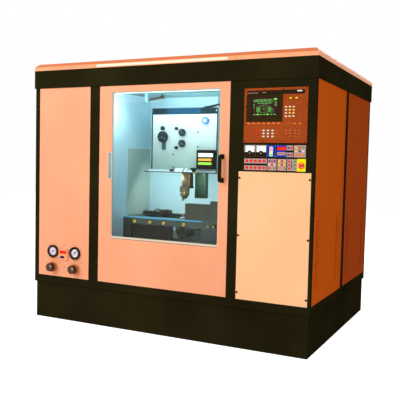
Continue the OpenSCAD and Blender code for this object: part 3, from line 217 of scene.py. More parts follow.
def moulding(name, colour, rough, gloss=0.4, coat=0.0):
    """Moulded plastic with a fine grain."""
    s = Shader(name)
    colour = seen(colour)
    s.feed(Base_Color=s.blend(s.ramp(s.noise(60, 5), 0.4, 0.75), colour, dimmed(colour, 0.85)),
           Roughness=s.ramp(s.noise(40, 4), 0.3, 0.7, rough - 0.06, rough + 0.08))
    s.set(Coat_Weight=coat, Coat_Roughness=0.08, Specular_IOR_Level=gloss)
    s.bump(s.noise(900, 2), 0.1, 0.3 * MM, 0.6 * MM)
    return s.material


def metal(name, colour, rough, brushed=None, stain=0.25, metallic=1.0):
    """Bare metal: brushing along one axis or none, stains and an uneven polish."""
    s = Shader(name)
    colour = seen(colour)
    grain = s.noise(260, 3, brushed) if brushed else s.noise(160, 5)
    s.feed(Base_Color=s.blend(s.ramp(s.noise(14, 6), 0.4, 0.72), colour, dimmed(colour, 1 - stain)),
           Roughness=s.ramp(grain, 0.25, 0.75, rough - 0.09, rough + 0.12))
    s.set(Metallic=metallic)
    s.bump(grain, 0.12, 0.15 * MM, 0.8 * MM)
    return s.material


def casting(name, colour, deep, rough=0.55, grain=170):
    """Painted or oiled iron with a cast skin."""
    s = Shader(name)
    s.feed(Base_Color=s.blend(s.ramp(s.noise(5, 6), 0.35, 0.7), seen(colour), seen(deep)),
           Roughness=s.ramp(s.noise(30, 5), 0.3, 0.7, rough - 0.12, rough + 0.12))
    s.set(Metallic=0.15)
    s.bump(s.noise(grain, 5), 0.25, 0.8 * MM, 1.6 * MM)
    return s.material


def glow(name, colour, strength, edge_share=0.8, scale=70, gloss=0.5):
    """A lit face, a little uneven as a diffuser is."""
    s = Shader(name)
    colour = seen(colour)
    tone = s.blend(s.ramp(s.noise(scale, 3), 0.35, 0.7), colour, dimmed(colour, edge_share))
    s.feed(Base_Color=tone, Emission_Color=tone)
    s.set(Emission_Strength=strength, Roughness=0.4, Specular_IOR_Level=gloss)
    return s.material


def clear(name, tint, rough):
    """Thin safety glass with faint wipe marks in its polish."""
    s = Shader(name)
    s.set(Base_Color=seen(tint), Transmission_Weight=1.0, IOR=1.18)
    s.feed(Roughness=s.ramp(s.noise(7, 6, (1, 1, 3)), 0.45, 0.8, rough, rough + 0.05))
    return s.material


# BROWN is the side panels' paint; its depth against the peach front is in part painted shade, for sides turned
# away from the key light.
BLACK, BROWN, RED, KEY_CREAM = (40, 36, 17), (200, 88, 20), (238, 22, 16), (248, 214, 172)

# Colour, deep tone, roughness, gloss, coat, colour of worn edges
ENAMELS = {
    "black_paint": (BLACK, (28, 24, 11), 0.42, 0.0, 0.0, (58, 50, 36)),
    "peach_paint": ((247, 169, 128), (240, 158, 117), 0.42, 0.12, 0.0, (250, 190, 156)),
    # Painted shade in part: brown_paint is darker and deeper than the peach paint of the same cabinet's front.
    "brown_paint": (BROWN, (180, 73, 16), 0.46, 0.0, 0.0, (210, 112, 50)),
    "cap_paint": ((250, 190, 146), (236, 168, 122), 0.32, 0.15, 0.15, (255, 226, 196)),
    "cover": ((252, 197, 146), (248, 188, 136), 0.42, 0.12, 0.0, (255, 214, 176)),
    "chamber_white": ((196, 226, 236), (176, 214, 228), 0.5, 0.12),
    "dark_trim": ((16, 46, 56), (8, 30, 38), 0.4, 0.08),
    "display_brown": ((168, 74, 27), (146, 62, 24), 0.48, 0.02),
    "port_metal": ((72, 76, 76), (54, 58, 58), 0.45),
    "panel_blue": ((2, 62, 176), (0, 52, 158), 0.42, 0.03),
    "panel_yellow": ((255, 234, 0), (250, 222, 0), 0.42, 0.03),
    "header_blue": ((14, 74, 106), (10, 62, 92), 0.4, 0.1),
    "apron_white": ((238, 246, 246), (226, 240, 242), 0.4),
    "teal_dark": ((18, 56, 52), (14, 46, 44), 0.4, 0.15),
    "access_teal": ((176, 196, 188), (160, 182, 176), 0.5, 0.1),
    # Painted highlights on the cap's front: a cream strip, and a fainter one on its left segment.
    "cap_cream": ((255, 236, 208), (255, 226, 192), 0.35, 0.2),
    "cap_dull": ((226, 164, 130), (214, 146, 112), 0.4, 0.2),
    "ceiling_teal": ((96, 150, 152), (84, 138, 142), 0.42),
    # Painted shade: the dark teal-green of the manifold cover stands for shade beside the ram.
    "manifold_teal": ((50, 76, 58), (42, 66, 50), 0.5, 0.1),
}
# Colour, roughness, gloss, coat
MOULDINGS = {
    "disc_plastic": ((24, 44, 54), 0.42, 0.12),
    "blue_plastic": ((70, 158, 226), 0.25, 0.2, 0.12),
    "black_plastic": ((40, 30, 16), 0.46, 0.02),
    "monitor_brown": ((54, 38, 16), 0.5, 0.01),
    "meter_white": ((156, 128, 124), 0.4, 0.2, 0.06),
    "plate_grey": ((188, 152, 144), 0.45, 0.2),
    "key_orange": ((236, 122, 44), 0.4, 0.2, 0.04),
    "key_cream": (KEY_CREAM, 0.4, 0.2, 0.04),
    "button_red": (RED, 0.25, 0.2, 0.12),
    "button_mixed": ((250, 84, 30), 0.3, 0.2, 0.08),
    "button_navy": ((2, 4, 72), 0.45, 0.02),
    "needle": ((176, 66, 60), 0.3),
    "filter_plastic": ((214, 208, 194), 0.45),
    "yellow": ((252, 222, 36), 0.35, 0.2, 0.06),
    "cream": (KEY_CREAM, 0.4, 0.2, 0.04),
    "gold": ((252, 204, 104), 0.4, 0.4, 0.05),
    "orange": ((255, 128, 16), 0.35, 0.2, 0.06),
    "red": (RED, 0.3, 0.2, 0.08),
    "crimson": ((206, 20, 60), 0.35, 0.2, 0.06),
    "white": ((246, 226, 208), 0.4, 0.2),
    "amber": ((206, 104, 50), 0.5, 0.1),
    "lime": ((176, 176, 40), 0.45),
    "blue": ((18, 58, 160), 0.35, 0.2, 0.06),
    "green": ((60, 160, 92), 0.35, 0.2, 0.06),
    "white_frame": ((214, 196, 200), 0.4),
    "dark_lens": ((46, 20, 20), 0.2, 0.2, 0.12),
    "arrow_pink": ((255, 196, 188), 0.4),
    "ink": ((40, 34, 38), 0.5),
    "scale_pink": ((250, 212, 226), 0.4, 0.2, 0.04),
    "knob_brown": ((74, 44, 18), 0.35, 0.2, 0.08),
    "knob_rim": ((196, 104, 34), 0.3, 0.2, 0.06),
    "label_brown": ((176, 104, 84), 0.5),
    "label_pink": ((190, 120, 110), 0.5),
    "lever_grey": ((62, 92, 98), 0.45, 0.12),
    "bellows": ((40, 32, 20), 0.6, 0.04),
    "disc_light": ((60, 92, 108), 0.4, 0.15),
    "seal_pale": ((226, 216, 190), 0.5),
    "seal_dark": ((104, 110, 92), 0.55),
    "screen_glass": ((58, 24, 30), 0.3, 0.06),
}
# Colour, roughness, stretch of the brushing, stain, share of bare metal
METALS = {
    "steel_sheet": ((176, 190, 192), 0.36, (1, 14, 1)),
    "steel": ((100, 90, 72), 0.45, (1, 1, 18), 0.25, 0.5),
    "dark_steel": ((62, 58, 42), 0.45, None, 0.35, 0.4),
    "chrome": ((204, 206, 200), 0.16, None, 0.15),
    "brass": ((232, 186, 70), 0.22, None, 0.2),
    "rack_grey": ((150, 156, 158), 0.42, (1, 10, 1), 0.2, 0.8),
    "tank_steel": ((178, 186, 188), 0.36, (1, 1, 12)),
    "ground_top": ((120, 168, 190), 0.3, (1, 12, 1)),
    "brass_knob": ((255, 204, 40), 0.34, None, 0.1, 0.3),
    "brass_dark": ((150, 96, 30), 0.35),
    "guide_metal": ((124, 116, 92), 0.3, None, 0.35, 0.8),
    "ram_metal": ((100, 84, 68), 0.3, None, 0.3, 0.8),
}
# Colour, strength, share of it in the dim patches, scale of the patches, gloss
GLOWS = {
    "lamp_white": ((240, 250, 255), 1.1, 0.95),
    "bar_pink": ((226, 160, 190), 0.25),
    "bar_yellow": ((236, 232, 96), 0.4),
    "bar_green": ((96, 214, 140), 0.4),
    "red_lens": ((252, 22, 0), 0.4, 0.9, 300, 0.0),
    "red_lit": ((255, 84, 10), 0.8, 0.8, 70, 0.0),
    "scale_white": ((255, 250, 240), 0.22, 0.96),
    "row_white": ((236, 248, 240), 0.7, 0.9, 200),
    "row_amber": ((224, 146, 36), 0.6, 0.85, 200),
    "row_green": ((140, 204, 40), 0.6, 0.85, 200),
    "row_white_hot": ((255, 255, 250), 1.6),
    "row_amber_hot": ((255, 176, 60), 1.4),
    "row_green_hot": ((190, 240, 90), 1.4),
    # Painted light: the jets' faint glow stands for the light the flushing water catches.
    "jet": ((230, 206, 216), 0.35),
    # Painted highlight: a faint cyan glow for the light caught along the table's front edge.
    "edge_cyan": ((70, 158, 196), 0.25),
    "screen_green": ((52, 172, 34), 0.25, 0.75, 300),
    "screen_bright": ((80, 236, 60), 0.5),
}
CASTINGS = {
    "cast_grey": ((124, 142, 140), (98, 114, 112)),
    "table_iron": ((50, 60, 52), (32, 38, 32), 0.4, 240),
}
# Low tone, high tone, axis, where the change starts and ends in metres, roughness, gloss, raggedness
FADES = {
    # Painted light and shade: the head's face goes from a shaded grey-green at the bottom to near white at the
    # top, as the lamp above lights it.
    "head_tones": ((150, 176, 170), (226, 236, 234), "Z", 1.24, 1.62, 0.46, 0.12),
    # Painted shade: the side panels go darker towards the rear, where the light falls off.
    "side_tones": (BROWN, (170, 70, 24), "Y", -0.14, 0.06, 0.5, 0.0),
    # Painted shade: the cap's upper bevel turns a darker orange than its lower face, though both are one paint.
    "cap_tones": ((250, 166, 118), (224, 122, 72), "Z", 2.0265, 2.0305, 0.42, 0.1, 0.0003),
}
# Painted shade: the end blocks are a darker copy of the wall's white, for the shade the wall shows there.
STAYS = {"stay_tones": (BLACK, (104, 146, 158), -0.511, -0.140, 0.003)}
GLASSES = {"glass": ((238, 250, 250), 0.02)}

LOOKS = {}
for make, table in ((enamel, ENAMELS), (moulding, MOULDINGS), (metal, METALS), (glow, GLOWS),
                    (casting, CASTINGS), (faded, FADES), (stay_enamel, STAYS), (clear, GLASSES)):
    for look, values in table.items():
        LOOKS[look] = make(look + "_finish", *values)

OWN_LOOKS = {"head_housing": "head_tones", "side_panels": "side_tones", "lower_right_panel": "cover",
             "guide_head": "guide_metal", "z_ram": "ram_metal", "stay_struts": "stay_tones",
             "roof_cap": "cap_tones", "tension_arm": "lever_grey", "guide_roller": "lever_grey"}


def dress_nodes():
    """Gives every CAD node the finish of its slot, or one of its own."""
    for part in frame["record"]["subparts"]:
        name = part["node"]
        node = NODES[name]
        node.data.materials.clear()
        node.data.materials.append(LOOKS[OWN_LOOKS.get(name, part["material_slot"])])


# Forms, all built in millimetres

def front(x, y, z):
    """Right, up and out of a face that looks to the front."""
    return Matrix(((1, 0, 0, x), (0, 0, -1, y), (0, 1, 0, z), (0, 0, 0, 1)))


def rear(x, y, z):
    return Matrix(((-1, 0, 0, x), (0, 0, 1, y), (0, 1, 0, z), (0, 0, 0, 1)))


def to_right(x, y, z):
    return Matrix(((0, 0, 1, x), (1, 0, 0, y), (0, 1, 0, z), (0, 0, 0, 1)))


def to_left(x, y, z):
    return Matrix(((0, 0, -1, x), (-1, 0, 0, y), (0, 1, 0, z), (0, 0, 0, 1)))


def upward(x, y, z):
    return Matrix.Translation((x, y, z))


def moved(place, right, up, out=0, turn=0):
    return place @ Matrix.Translation((right, up, out)) @ Matrix.Rotation(turn, 4, "Z")


def polar(r, a):
    return r * math.cos(a), r * math.sin(a)


def round_the(count, start=0.0):
    """Angles of so many equal steps round a circle."""
    return [start + 2 * math.pi * k / count for k in range(count)]


def rounded(w, h, corner, steps=4):
    """A rounded rectangle's points, anticlockwise round its middle."""
    corner = max(min(corner, w / 2, h / 2), 0.01)
    points = []
    for sx, sy, start in ((1, 1, 0), (-1, 1, 90), (-1, -1, 180), (1, -1, 270)):
        for i in range(steps + 1):
            u, v = polar(corner, math.radians(start + 90 * i / steps))
            points.append((sx * (w / 2 - corner) + u, sy * (h / 2 - corner) + v))
    return points


def mm_box(node):
    lo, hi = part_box(node)
    return Vector(lo) / MM, Vector(hi) / MM


def middle(box):
    return (box[0] + box[1]) / 2


def joint_xz(name):
    """A joint's place across and up, in millimetres."""
    p = JOINTS[name]["pos_m"]
    return p[0] / MM, p[2] / MM


def islands(node):
    """Lowest and highest corners of a node's separate solids, in millimetres."""
    mesh = NODES[node].data
    ids = {}
    corner = [ids.setdefault(tuple(round(c, 6) for c in v.co), len(ids)) for v in mesh.vertices]
    parent = list(range(len(ids)))

    def root(i):
        while parent[i] != i:
            parent[i] = parent[parent[i]]
            i = parent[i]
        return i

    for edge in mesh.edges:
        parent[root(corner[edge.vertices[0]])] = root(corner[edge.vertices[1]])
    boxes = {}
    for vertex, i in zip(mesh.vertices, corner):
        lo, hi = boxes.setdefault(root(i), (vertex.co.copy(), vertex.co.copy()))
        for k in range(3):
            lo[k] = min(lo[k], vertex.co[k])
            hi[k] = max(hi[k], vertex.co[k])
    found = [(lo / MM, hi / MM) for lo, hi in boxes.values()]
    return sorted(found, key=lambda b: (round(b[0].z, 1), round(b[0].x, 1), round(b[0].y, 1)))


class Piece:
    """One piece of the scene, put together from several forms.

    Where no look is named it takes the finish of its slot.
    """

    def __init__(self, name, body, slot, *looks, stands_for=()):
        self.name, self.body, self.slot, self.stands_for = name, body, slot, stands_for
        self.looks = looks or (slot,)
        self.bend = None
        self.bm = bmesh.new()

    def face(self, verts, tone):
        try:
            face = self.bm.faces.new(verts)
        except ValueError:
            return
        face.material_index = tone

    def bridge(self, a, b, tone):
        if len(a) == 1 or len(b) == 1:
            tip, ring = (a[0], b) if len(a) == 1 else (b[0], a)
            for i, vert in enumerate(ring):
                self.face((vert, ring[(i + 1) % len(ring)], tip), tone)
            return
        for i in range(len(a)):
            j = (i + 1) % len(a)
            self.face((a[i], a[j], b[j], b[i]), tone)

    def loft(self, place, rings, tone=0, closed=True, wrap=False):
        """Joins rings of points (right, up, out); wrap joins the last to the first, as in a collar."""
        loops = [[self.bm.verts.new(place @ Vector(p)) for p in ring] for ring in rings]
        if wrap:
            self.bridge(loops[-1], loops[0], tone)
        for a, b in zip(loops, loops[1:]):
            self.bridge(a, b, tone)
        if closed and not wrap:
            for loop in (loops[0], loops[-1]):
                if len(loop) > 2:
                    self.face(loop, tone)

    def stack(self, place, w, h, corner, profile, tone=0, steps=4):
        """A rounded slab whose edge follows the profile's (inset, height) pairs."""
        self.loft(place, [[(u, v, n) for u, v in rounded(w - 2 * i, h - 2 * i, corner - i, steps)]
                          for i, n in profile], tone)

    def turned(self, place, profile, tone=0, steps=32, closed=True):
        """A turned form; the profile is (radius, height) pairs."""
        rings = [[(*polar(r, a), n) for a in round_the(steps)] if r else [(0, 0, n)] for r, n in profile]
        self.loft(place, rings, tone, closed, closed and profile[0][0] > 0 and profile[-1][0] > 0)

    def ring(self, place, outer, inner, n0, n1, tone=0, slope=0.0):
        """A flat frame between two outlines of equal length; slope sinks its inner edge."""
        self.loft(place, [[(u, v, n) for u, v in points] for points, n in
                          ((outer, n0), (outer, n1), (inner, n1 - slope), (inner, n0))], tone, wrap=True)

    def block(self, lo, hi, tone=0):
        corners = ((lo[0], lo[1]), (hi[0], lo[1]), (hi[0], hi[1]), (lo[0], hi[1]))
        self.loft(Matrix.Identity(4), [[(x, y, z) for x, y in corners] for z in (lo[2], hi[2])], tone)

    def sheet(self, place, columns, rows, form, tone=0):
        """An open sheet; form gives (right, up, out) for u and v from -1 to 1."""
        grid = [[self.bm.verts.new(place @ Vector(form(2 * i / columns - 1, 2 * j / rows - 1)))
                 for i in range(columns + 1)] for j in range(rows + 1)]
        for low, high in zip(grid, grid[1:]):
            for i in range(columns):
                self.face((low[i], low[i + 1], high[i + 1], high[i]), tone)

    def words(self, place, text, size, tone=0):
        """Raised figures, centred on the place."""
        curve = bpy.data.curves.new("figures", "FONT")
        curve.body, curve.size, curve.extrude, curve.resolution_u = text, size, 0.1, 2
        curve.align_x = curve.align_y = "CENTER"
        carrier = bpy.data.objects.new("figures", curve)
        mesh = carrier.to_mesh()
        verts = [self.bm.verts.new(place @ v.co) for v in mesh.vertices]
        for polygon in mesh.polygons:
            self.face([verts[i] for i in polygon.vertices], tone)
        carrier.to_mesh_clear()
        bpy.data.objects.remove(carrier)
        bpy.data.curves.remove(curve)

    def screw(self, place, r, tone=0):
        """A socket screw's head."""
        self.turned(place, [(r, 0), (r, 0.3 * r), (0.86 * r, 0.5 * r), (0.46 * r, 0.5 * r),
                            (0.4 * r, 0.2 * r), (0, 0.2 * r)], tone, 14)

    def corner_screws(self, face, x, y, z, right, up, r, tone=0):
        for sx in BOTH:
            for sz in BOTH:
                self.screw(face(x + sx * right, y, z + sz * up), r, tone)

    def done(self, smooth=True, bevel=0.0):
        bm = self.bm
        bmesh.ops.recalc_face_normals(bm, faces=bm.faces)
        bmesh.ops.scale(bm, vec=(MM, MM, MM), verts=bm.verts)
        mesh = bpy.data.meshes.new(self.name)
        bm.to_mesh(mesh)
        bm.free()
        if smooth:
            mesh.shade_smooth()
            mesh.set_sharp_from_angle(angle=math.radians(35))
        for look in self.looks:
            mesh.materials.append(LOOKS[look])
        piece = bpy.data.objects.new(self.name, mesh)
        bpy.context.scene.collection.objects.link(piece)
        if bevel:
            soften = piece.modifiers.new("soft_edges", "BEVEL")
            soften.width = bevel * MM
            soften.segments = 3
            soften.limit_method = "ANGLE"
            soften.angle_limit = math.radians(40)
        if self.bend:
            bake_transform(piece)
        else:
            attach(piece, self.body)
        if self.stands_for:
            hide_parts(*self.stands_for)
        return piece


SEGMENTS = {"0": "abcdef", "1": "bc", "2": "abged", "3": "abgcd", "4": "fgbc", "5": "afgcd",
            "6": "afgedc", "7": "abc", "8": "abcdefg", "9": "abcdfg"}
SLANT = 0.12


def seven_segment(piece, place, w, h, digit, tone):
    """One lit digit, slanted a little as such displays are."""
    t = 0.16 * w
    flat, tall = (w - t, t), (t, h / 2 - t)
    bars = {"a": (0, h / 2, flat), "g": (0, 0, flat), "d": (0, -h / 2, flat), "f": (-w / 2, h / 4, tall),
            "b": (w / 2, h / 4, tall), "e": (-w / 2, -h / 4, tall), "c": (w / 2, -h / 4, tall)}
    for name in SEGMENTS[digit]:
        x, z, size = bars[name]
        piece.stack(moved(place, x + SLANT * z, z), *size, 0.4 * t, [(0, 0), (0, 0.25)], tone, 1)


def figures(piece, face, x, y, z, pitch, size, digits, tone):
    """A row of lit digits from the left."""
    for i, digit in enumerate(digits):
        seven_segment(piece, face(x + pitch * i, y, z), *size, digit, tone)


def keycap_profile(t):
    return [(0, 0), (0, t - 1.1), (0.35, t - 0.45), (1.0, t), (2.4, t), (3.4, t - 0.3)]


# Console, in shares of its zone

CONSOLE_X0, CONSOLE_W, CONSOLE_Z0, CONSOLE_H = 632, 516, 1240, 620
SCREEN_SHARE = (0.180, 0.600, 0.361, 0.206)
METER_SHARES = [(0.078, 0.163, 0.158, 0.129), (0.237, 0.163, 0.158, 0.129)]
MODULE_SHARES = [(0.399, 0.163, 0.120, 0.129), (0.533, 0.163, 0.130, 0.129), (0.667, 0.237, 0.085, 0.052),
                 (0.667, 0.166, 0.085, 0.048), (0.764, 0.163, 0.155, 0.129), (0.083, 0.090, 0.316, 0.053),
                 (0.083, 0.018, 0.316, 0.050), (0.413, 0.018, 0.120, 0.125), (0.548, 0.018, 0.120, 0.125),
                 (0.680, 0.018, 0.126, 0.125), (0.809, 0.013, 0.116, 0.135)]
BAR_MODULE, DISPLAY_MODULE, SLIDER_MODULE, STOP_MODULE = 0, 1, 9, 10
PAD_COLOURS = {2: [["blue", "red"]], 3: [["blue", "red"]],
               4: [["yellow", "red", "green"], ["yellow", "blue", "white"], ["orange", "orange", "orange"]],
               7: [["blue", "red", "blue"], ["white", "red", "white"], ["red", "green"]],
               8: [["yellow", "red", "yellow"], ["yellow", "crimson", "yellow"], ["orange", "green"]],
               9: [["red", "green"], ["red", "green"], ["red", "green"]]}
# Height of each row, then place and width in millimetres of each legend in it
LEGEND_SHARES = ((0.803, (0.657, 5)), (0.813, (0.715, 5)), (0.812, (0.834, 11)),
                 (0.738, (0.657, 5), (0.788, 8), (0.826, 9)), (0.641, (0.826, 8)), (0.605, (0.826, 10)),
                 (0.524, (0.649, 8), (0.684, 18), (0.722, 6)), (0.449, (0.512, 8)),
                 (0.418, (0.505, 6), (0.539, 6)), (0.417, (0.204, 3)),
                 (0.384, (0.505, 10), (0.556, 9), (0.704, 7), (0.775, 8), (0.822, 8)))
LIME_SHARE, LIME_ROW_SHARES = 0.305, (0.449, 0.417, 0.384)
# The generic contour on the screen, in half widths and half heights
CUT_PATH = [(-0.66, -0.56), (-0.66, -0.02), (-0.40, -0.02), (-0.40, 0.14), (-0.14, 0.14), (-0.14, 0.30),
            (0.12, 0.30), (0.12, 0.05), (0.38, 0.05), (0.38, -0.20), (0.62, -0.20), (0.62, -0.56),
            (-0.66, -0.56)]


def con_x(s):
    return CONSOLE_X0 + s * CONSOLE_W


def con_z(s):
    return CONSOLE_Z0 + s * CONSOLE_H


def zone(share):
    """Middle and size of a share of the console."""
    return (con_x(share[0] + share[2] / 2), con_z(share[1] + share[3] / 2),
            share[2] * CONSOLE_W, share[3] * CONSOLE_H)


def rows_of(boxes, gap=8):
    """Boxes in rows from the top, each row from the left."""
    rows = []
    for box in sorted(boxes, key=lambda b: -middle(b).z):
        if rows and abs(middle(rows[-1][0]).z - middle(box).z) < gap:
            rows[-1].append(box)
        else:
            rows.append([box])
    return [sorted(row, key=lambda b: b[0].x) for row in rows]


def caps(name, node, body, slot, boxes, look, corner=1.6, inset=0.3):
    """Dished caps that stand for a node's plain keys."""
    piece = Piece(name, body, slot, look, stands_for=(node,))
    for lo, hi in boxes:
        m = middle((lo, hi))
        w, h = hi.x - lo.x - 2 * inset, hi.z - lo.z - 2 * inset
        piece.stack(front(m.x, hi.y, m.z), w, h, corner, keycap_profile(hi.y - lo.y))
    piece.done()


def screen():
    """Domed tube face with a generic cutting path and rows of blocks drawn on it."""
    x, z, w, h = zone(SCREEN_SHARE)
    w, h, rise, lift, sunk = w - 2, h - 2, 3.6, 0.25, 5
    bezel = mm_box("crt_monitor")[0].y
    place = front(x, bezel + sunk, z)

    def dome(u, v):
        return (u * w / 2, v * h / 2, 0.2 + rise * (1 - u ** 4) * (1 - v ** 4))

    face = Piece("screen_face", "cabinet", "monitor_brown", "screen_glass")
    face.sheet(place, 24, 18, dome)
    face.done()
    draw = Piece("screen_trace", "cabinet", "key_cream", "screen_green", "screen_bright")

    def stroke(u0, v0, u1, v1, thick, tone=0, steps=3):
        du, dv = (u1 - u0) * w / 2, (v1 - v0) * h / 2
        length = math.hypot(du, dv) or 1
        ou, ov = -dv / length * thick / w, du / length * thick / h
        above = Vector((0, 0, lift))
        rows = []
        for i in range(steps + 1):
            u, v = u0 + (u1 - u0) * i / steps, v0 + (v1 - v0) * i / steps
            spots = [Vector(dome(u + s * ou, v + s * ov)) + above for s in BOTH]
            rows.append([draw.bm.verts.new(place @ spot) for spot in spots])
        for a, b in zip(rows, rows[1:]):
            draw.face((a[0], a[1], b[1], b[0]), tone)

    def level(u, v, length, thick, tone=0):
        stroke(u, v, u + length, v, thick, tone)

    def text_row(v, u, end, seed):
        """A row of blocks, as figures look from a step away."""
        i = 0
        while u < end:
            length = 0.022 + 0.011 * ((i * 7 + seed) % 4)
            if (i * 5 + seed) % 6:
                stroke(u, v, min(u + length, end), v, 5.5)
            u += length + 0.012
            i += 1

    level(0.66, 0.80, 0.22, 9, 1)
    for row, (v, start, end) in enumerate(((0.74, -0.93, 0.52), (0.60, -0.93, 0.60), (0.40, -0.60, 0.50))):
        text_row(v, start, end, row + 2)
    for a, b in zip(CUT_PATH, CUT_PATH[1:]):
        stroke(*a, *b, 1.6)
    for u in (-0.66, 0.20):
        for i in range(6):
            level(u, -0.10 - 0.075 * i, 0.28, 2.6)
    hole = [(-0.06 + 0.11 * math.cos(a), -0.16 + 0.16 * math.sin(a)) for a in round_the(12)]
    for a, b in zip(hole, hole[1:] + hole[:1]):
        stroke(*a, *b, 1.6)
    for i in range(4):
        level(-0.94, 0.30 - 0.14 * i, 0.08, 4)
        level(0.72, 0.50 - 0.13 * i, 0.16, 4)
    for i in range(7):
        level(-0.93 + 0.26 * i, -0.80, 0.18, 6.5, i % 3 == 1)
    draw.done(False)

    rim = Piece("screen_rim", "cabinet", "monitor_brown")
    rim.ring(front(x, bezel, z), rounded(w + 12, h + 12, 7), rounded(w - 3, h - 3, 9), -0.5, 1.2, 0, 3.2)
    for i in range(9):
        rim.stack(front(x - 96 + 24 * i, bezel, z + h / 2 + 11), 14, 1.6, 0.8, [(0, -0.2), (0, 0.3)], 0, 2)
    rim.done()


def key_group(m):
    """Which of the photographed key colours a key has, from its place on the panel."""
    sx, sz = (m.x - CONSOLE_X0) / CONSOLE_W, (m.z - CONSOLE_Z0) / CONSOLE_H
    if sz > 0.75:
        return "yellow"
    if sz > 0.56:
        return "gold" if 0.62 < sz < 0.68 and sx > 0.66 else "cream"
    if sz > 0.5:
        return "orange"
    return "red" if sx < 0.3 else "white" if sx < 0.55 else "amber"


def display_panel_pieces():
    face = mm_box("display_panel")[0].y
    strip = Piece("header_strip", "cabinet", "black_plastic", "black_plastic", "label_pink", "white")
    strip.stack(front(886.5, face, 1772), 405, 28, 9, [(0, 0), (0, 0.9), (0.8, 1.6)])
    for x, z, w, h, tone in ((728, 1770, 74, 4, 1), (808, 1772, 28, 4, 1), (1054, 1777, 34, 9, 2)):
        strip.stack(front(x, face - 1.6, z), w, h, 1.5, [(0, 0), (0, 0.3), (0.3, 0.5)], tone, 2)
    strip.done()
    screws = Piece("display_screws", "cabinet", "black_plastic")
    for columns, rows in (((676, 806, 940, 1101), (1445, 1792)), ((674, 1103), (1560, 1678))):
        for x in columns:
            for z in rows:
                screws.screw(front(x, face, z), 4)
    screws.done()

    caps("soft_key_caps", "soft_keys", "soft_key_row", "key_orange", islands("soft_keys"), "key_orange")
    slots = {"yellow": "key_cream", "cream": "key_cream", "gold": "key_cream", "orange": "key_orange",
             "red": "button_red", "white": "key_cream", "amber": "key_orange"}
    keys = islands("keypad_keys")
    for name, slot in slots.items():
        boxes = [box for box in keys if key_group(middle(box)) == name]
        if boxes:
            caps(name + "_keys", "keypad_keys", "keypad", slot, boxes, name, 1.6, 0.9)

    marks = Piece("key_legends", "cabinet", "key_orange", "amber", "lime")
    legends = [(sx, sz, w, 0) for sz, *row in LEGEND_SHARES for sx, w in row]
    legends += [(LIME_SHARE, sz, 6, 1) for sz in LIME_ROW_SHARES]
    for sx, sz, w, tone in legends:
        marks.stack(front(con_x(sx), face, con_z(sz)), w, 5, 1.5, [(0, 0), (0, 0.25), (0.25, 0.5)], tone, 2)
    marks.done()


def module_faces(plate):
    for name, index, look in (("bar_module_face", BAR_MODULE, "panel_blue"),
                              ("display_module_face", DISPLAY_MODULE, "panel_blue"),
                              ("stop_module_face", STOP_MODULE, "panel_yellow")):
        x, z, w, h = zone(MODULE_SHARES[index])
        piece = Piece(name, "cabinet", "plate_grey", look)
        if index == STOP_MODULE:
            stem = middle(mm_box("stop_button"))
            hole = [(12.2 * math.cos(a) + stem.x - x, 12.2 * math.sin(a) + stem.z - z)
                    for a in round_the(20, math.pi / 20)]
            piece.ring(front(x, plate, z), rounded(w - 0.6, h - 0.6, 2), hole, 0.02, 0.2)
        else:
            piece.stack(front(x, plate, z), w - 0.6, h - 0.6, 2, [(0, 0.02), (0, 0.6), (0.5, 1.0)])
        piece.done()


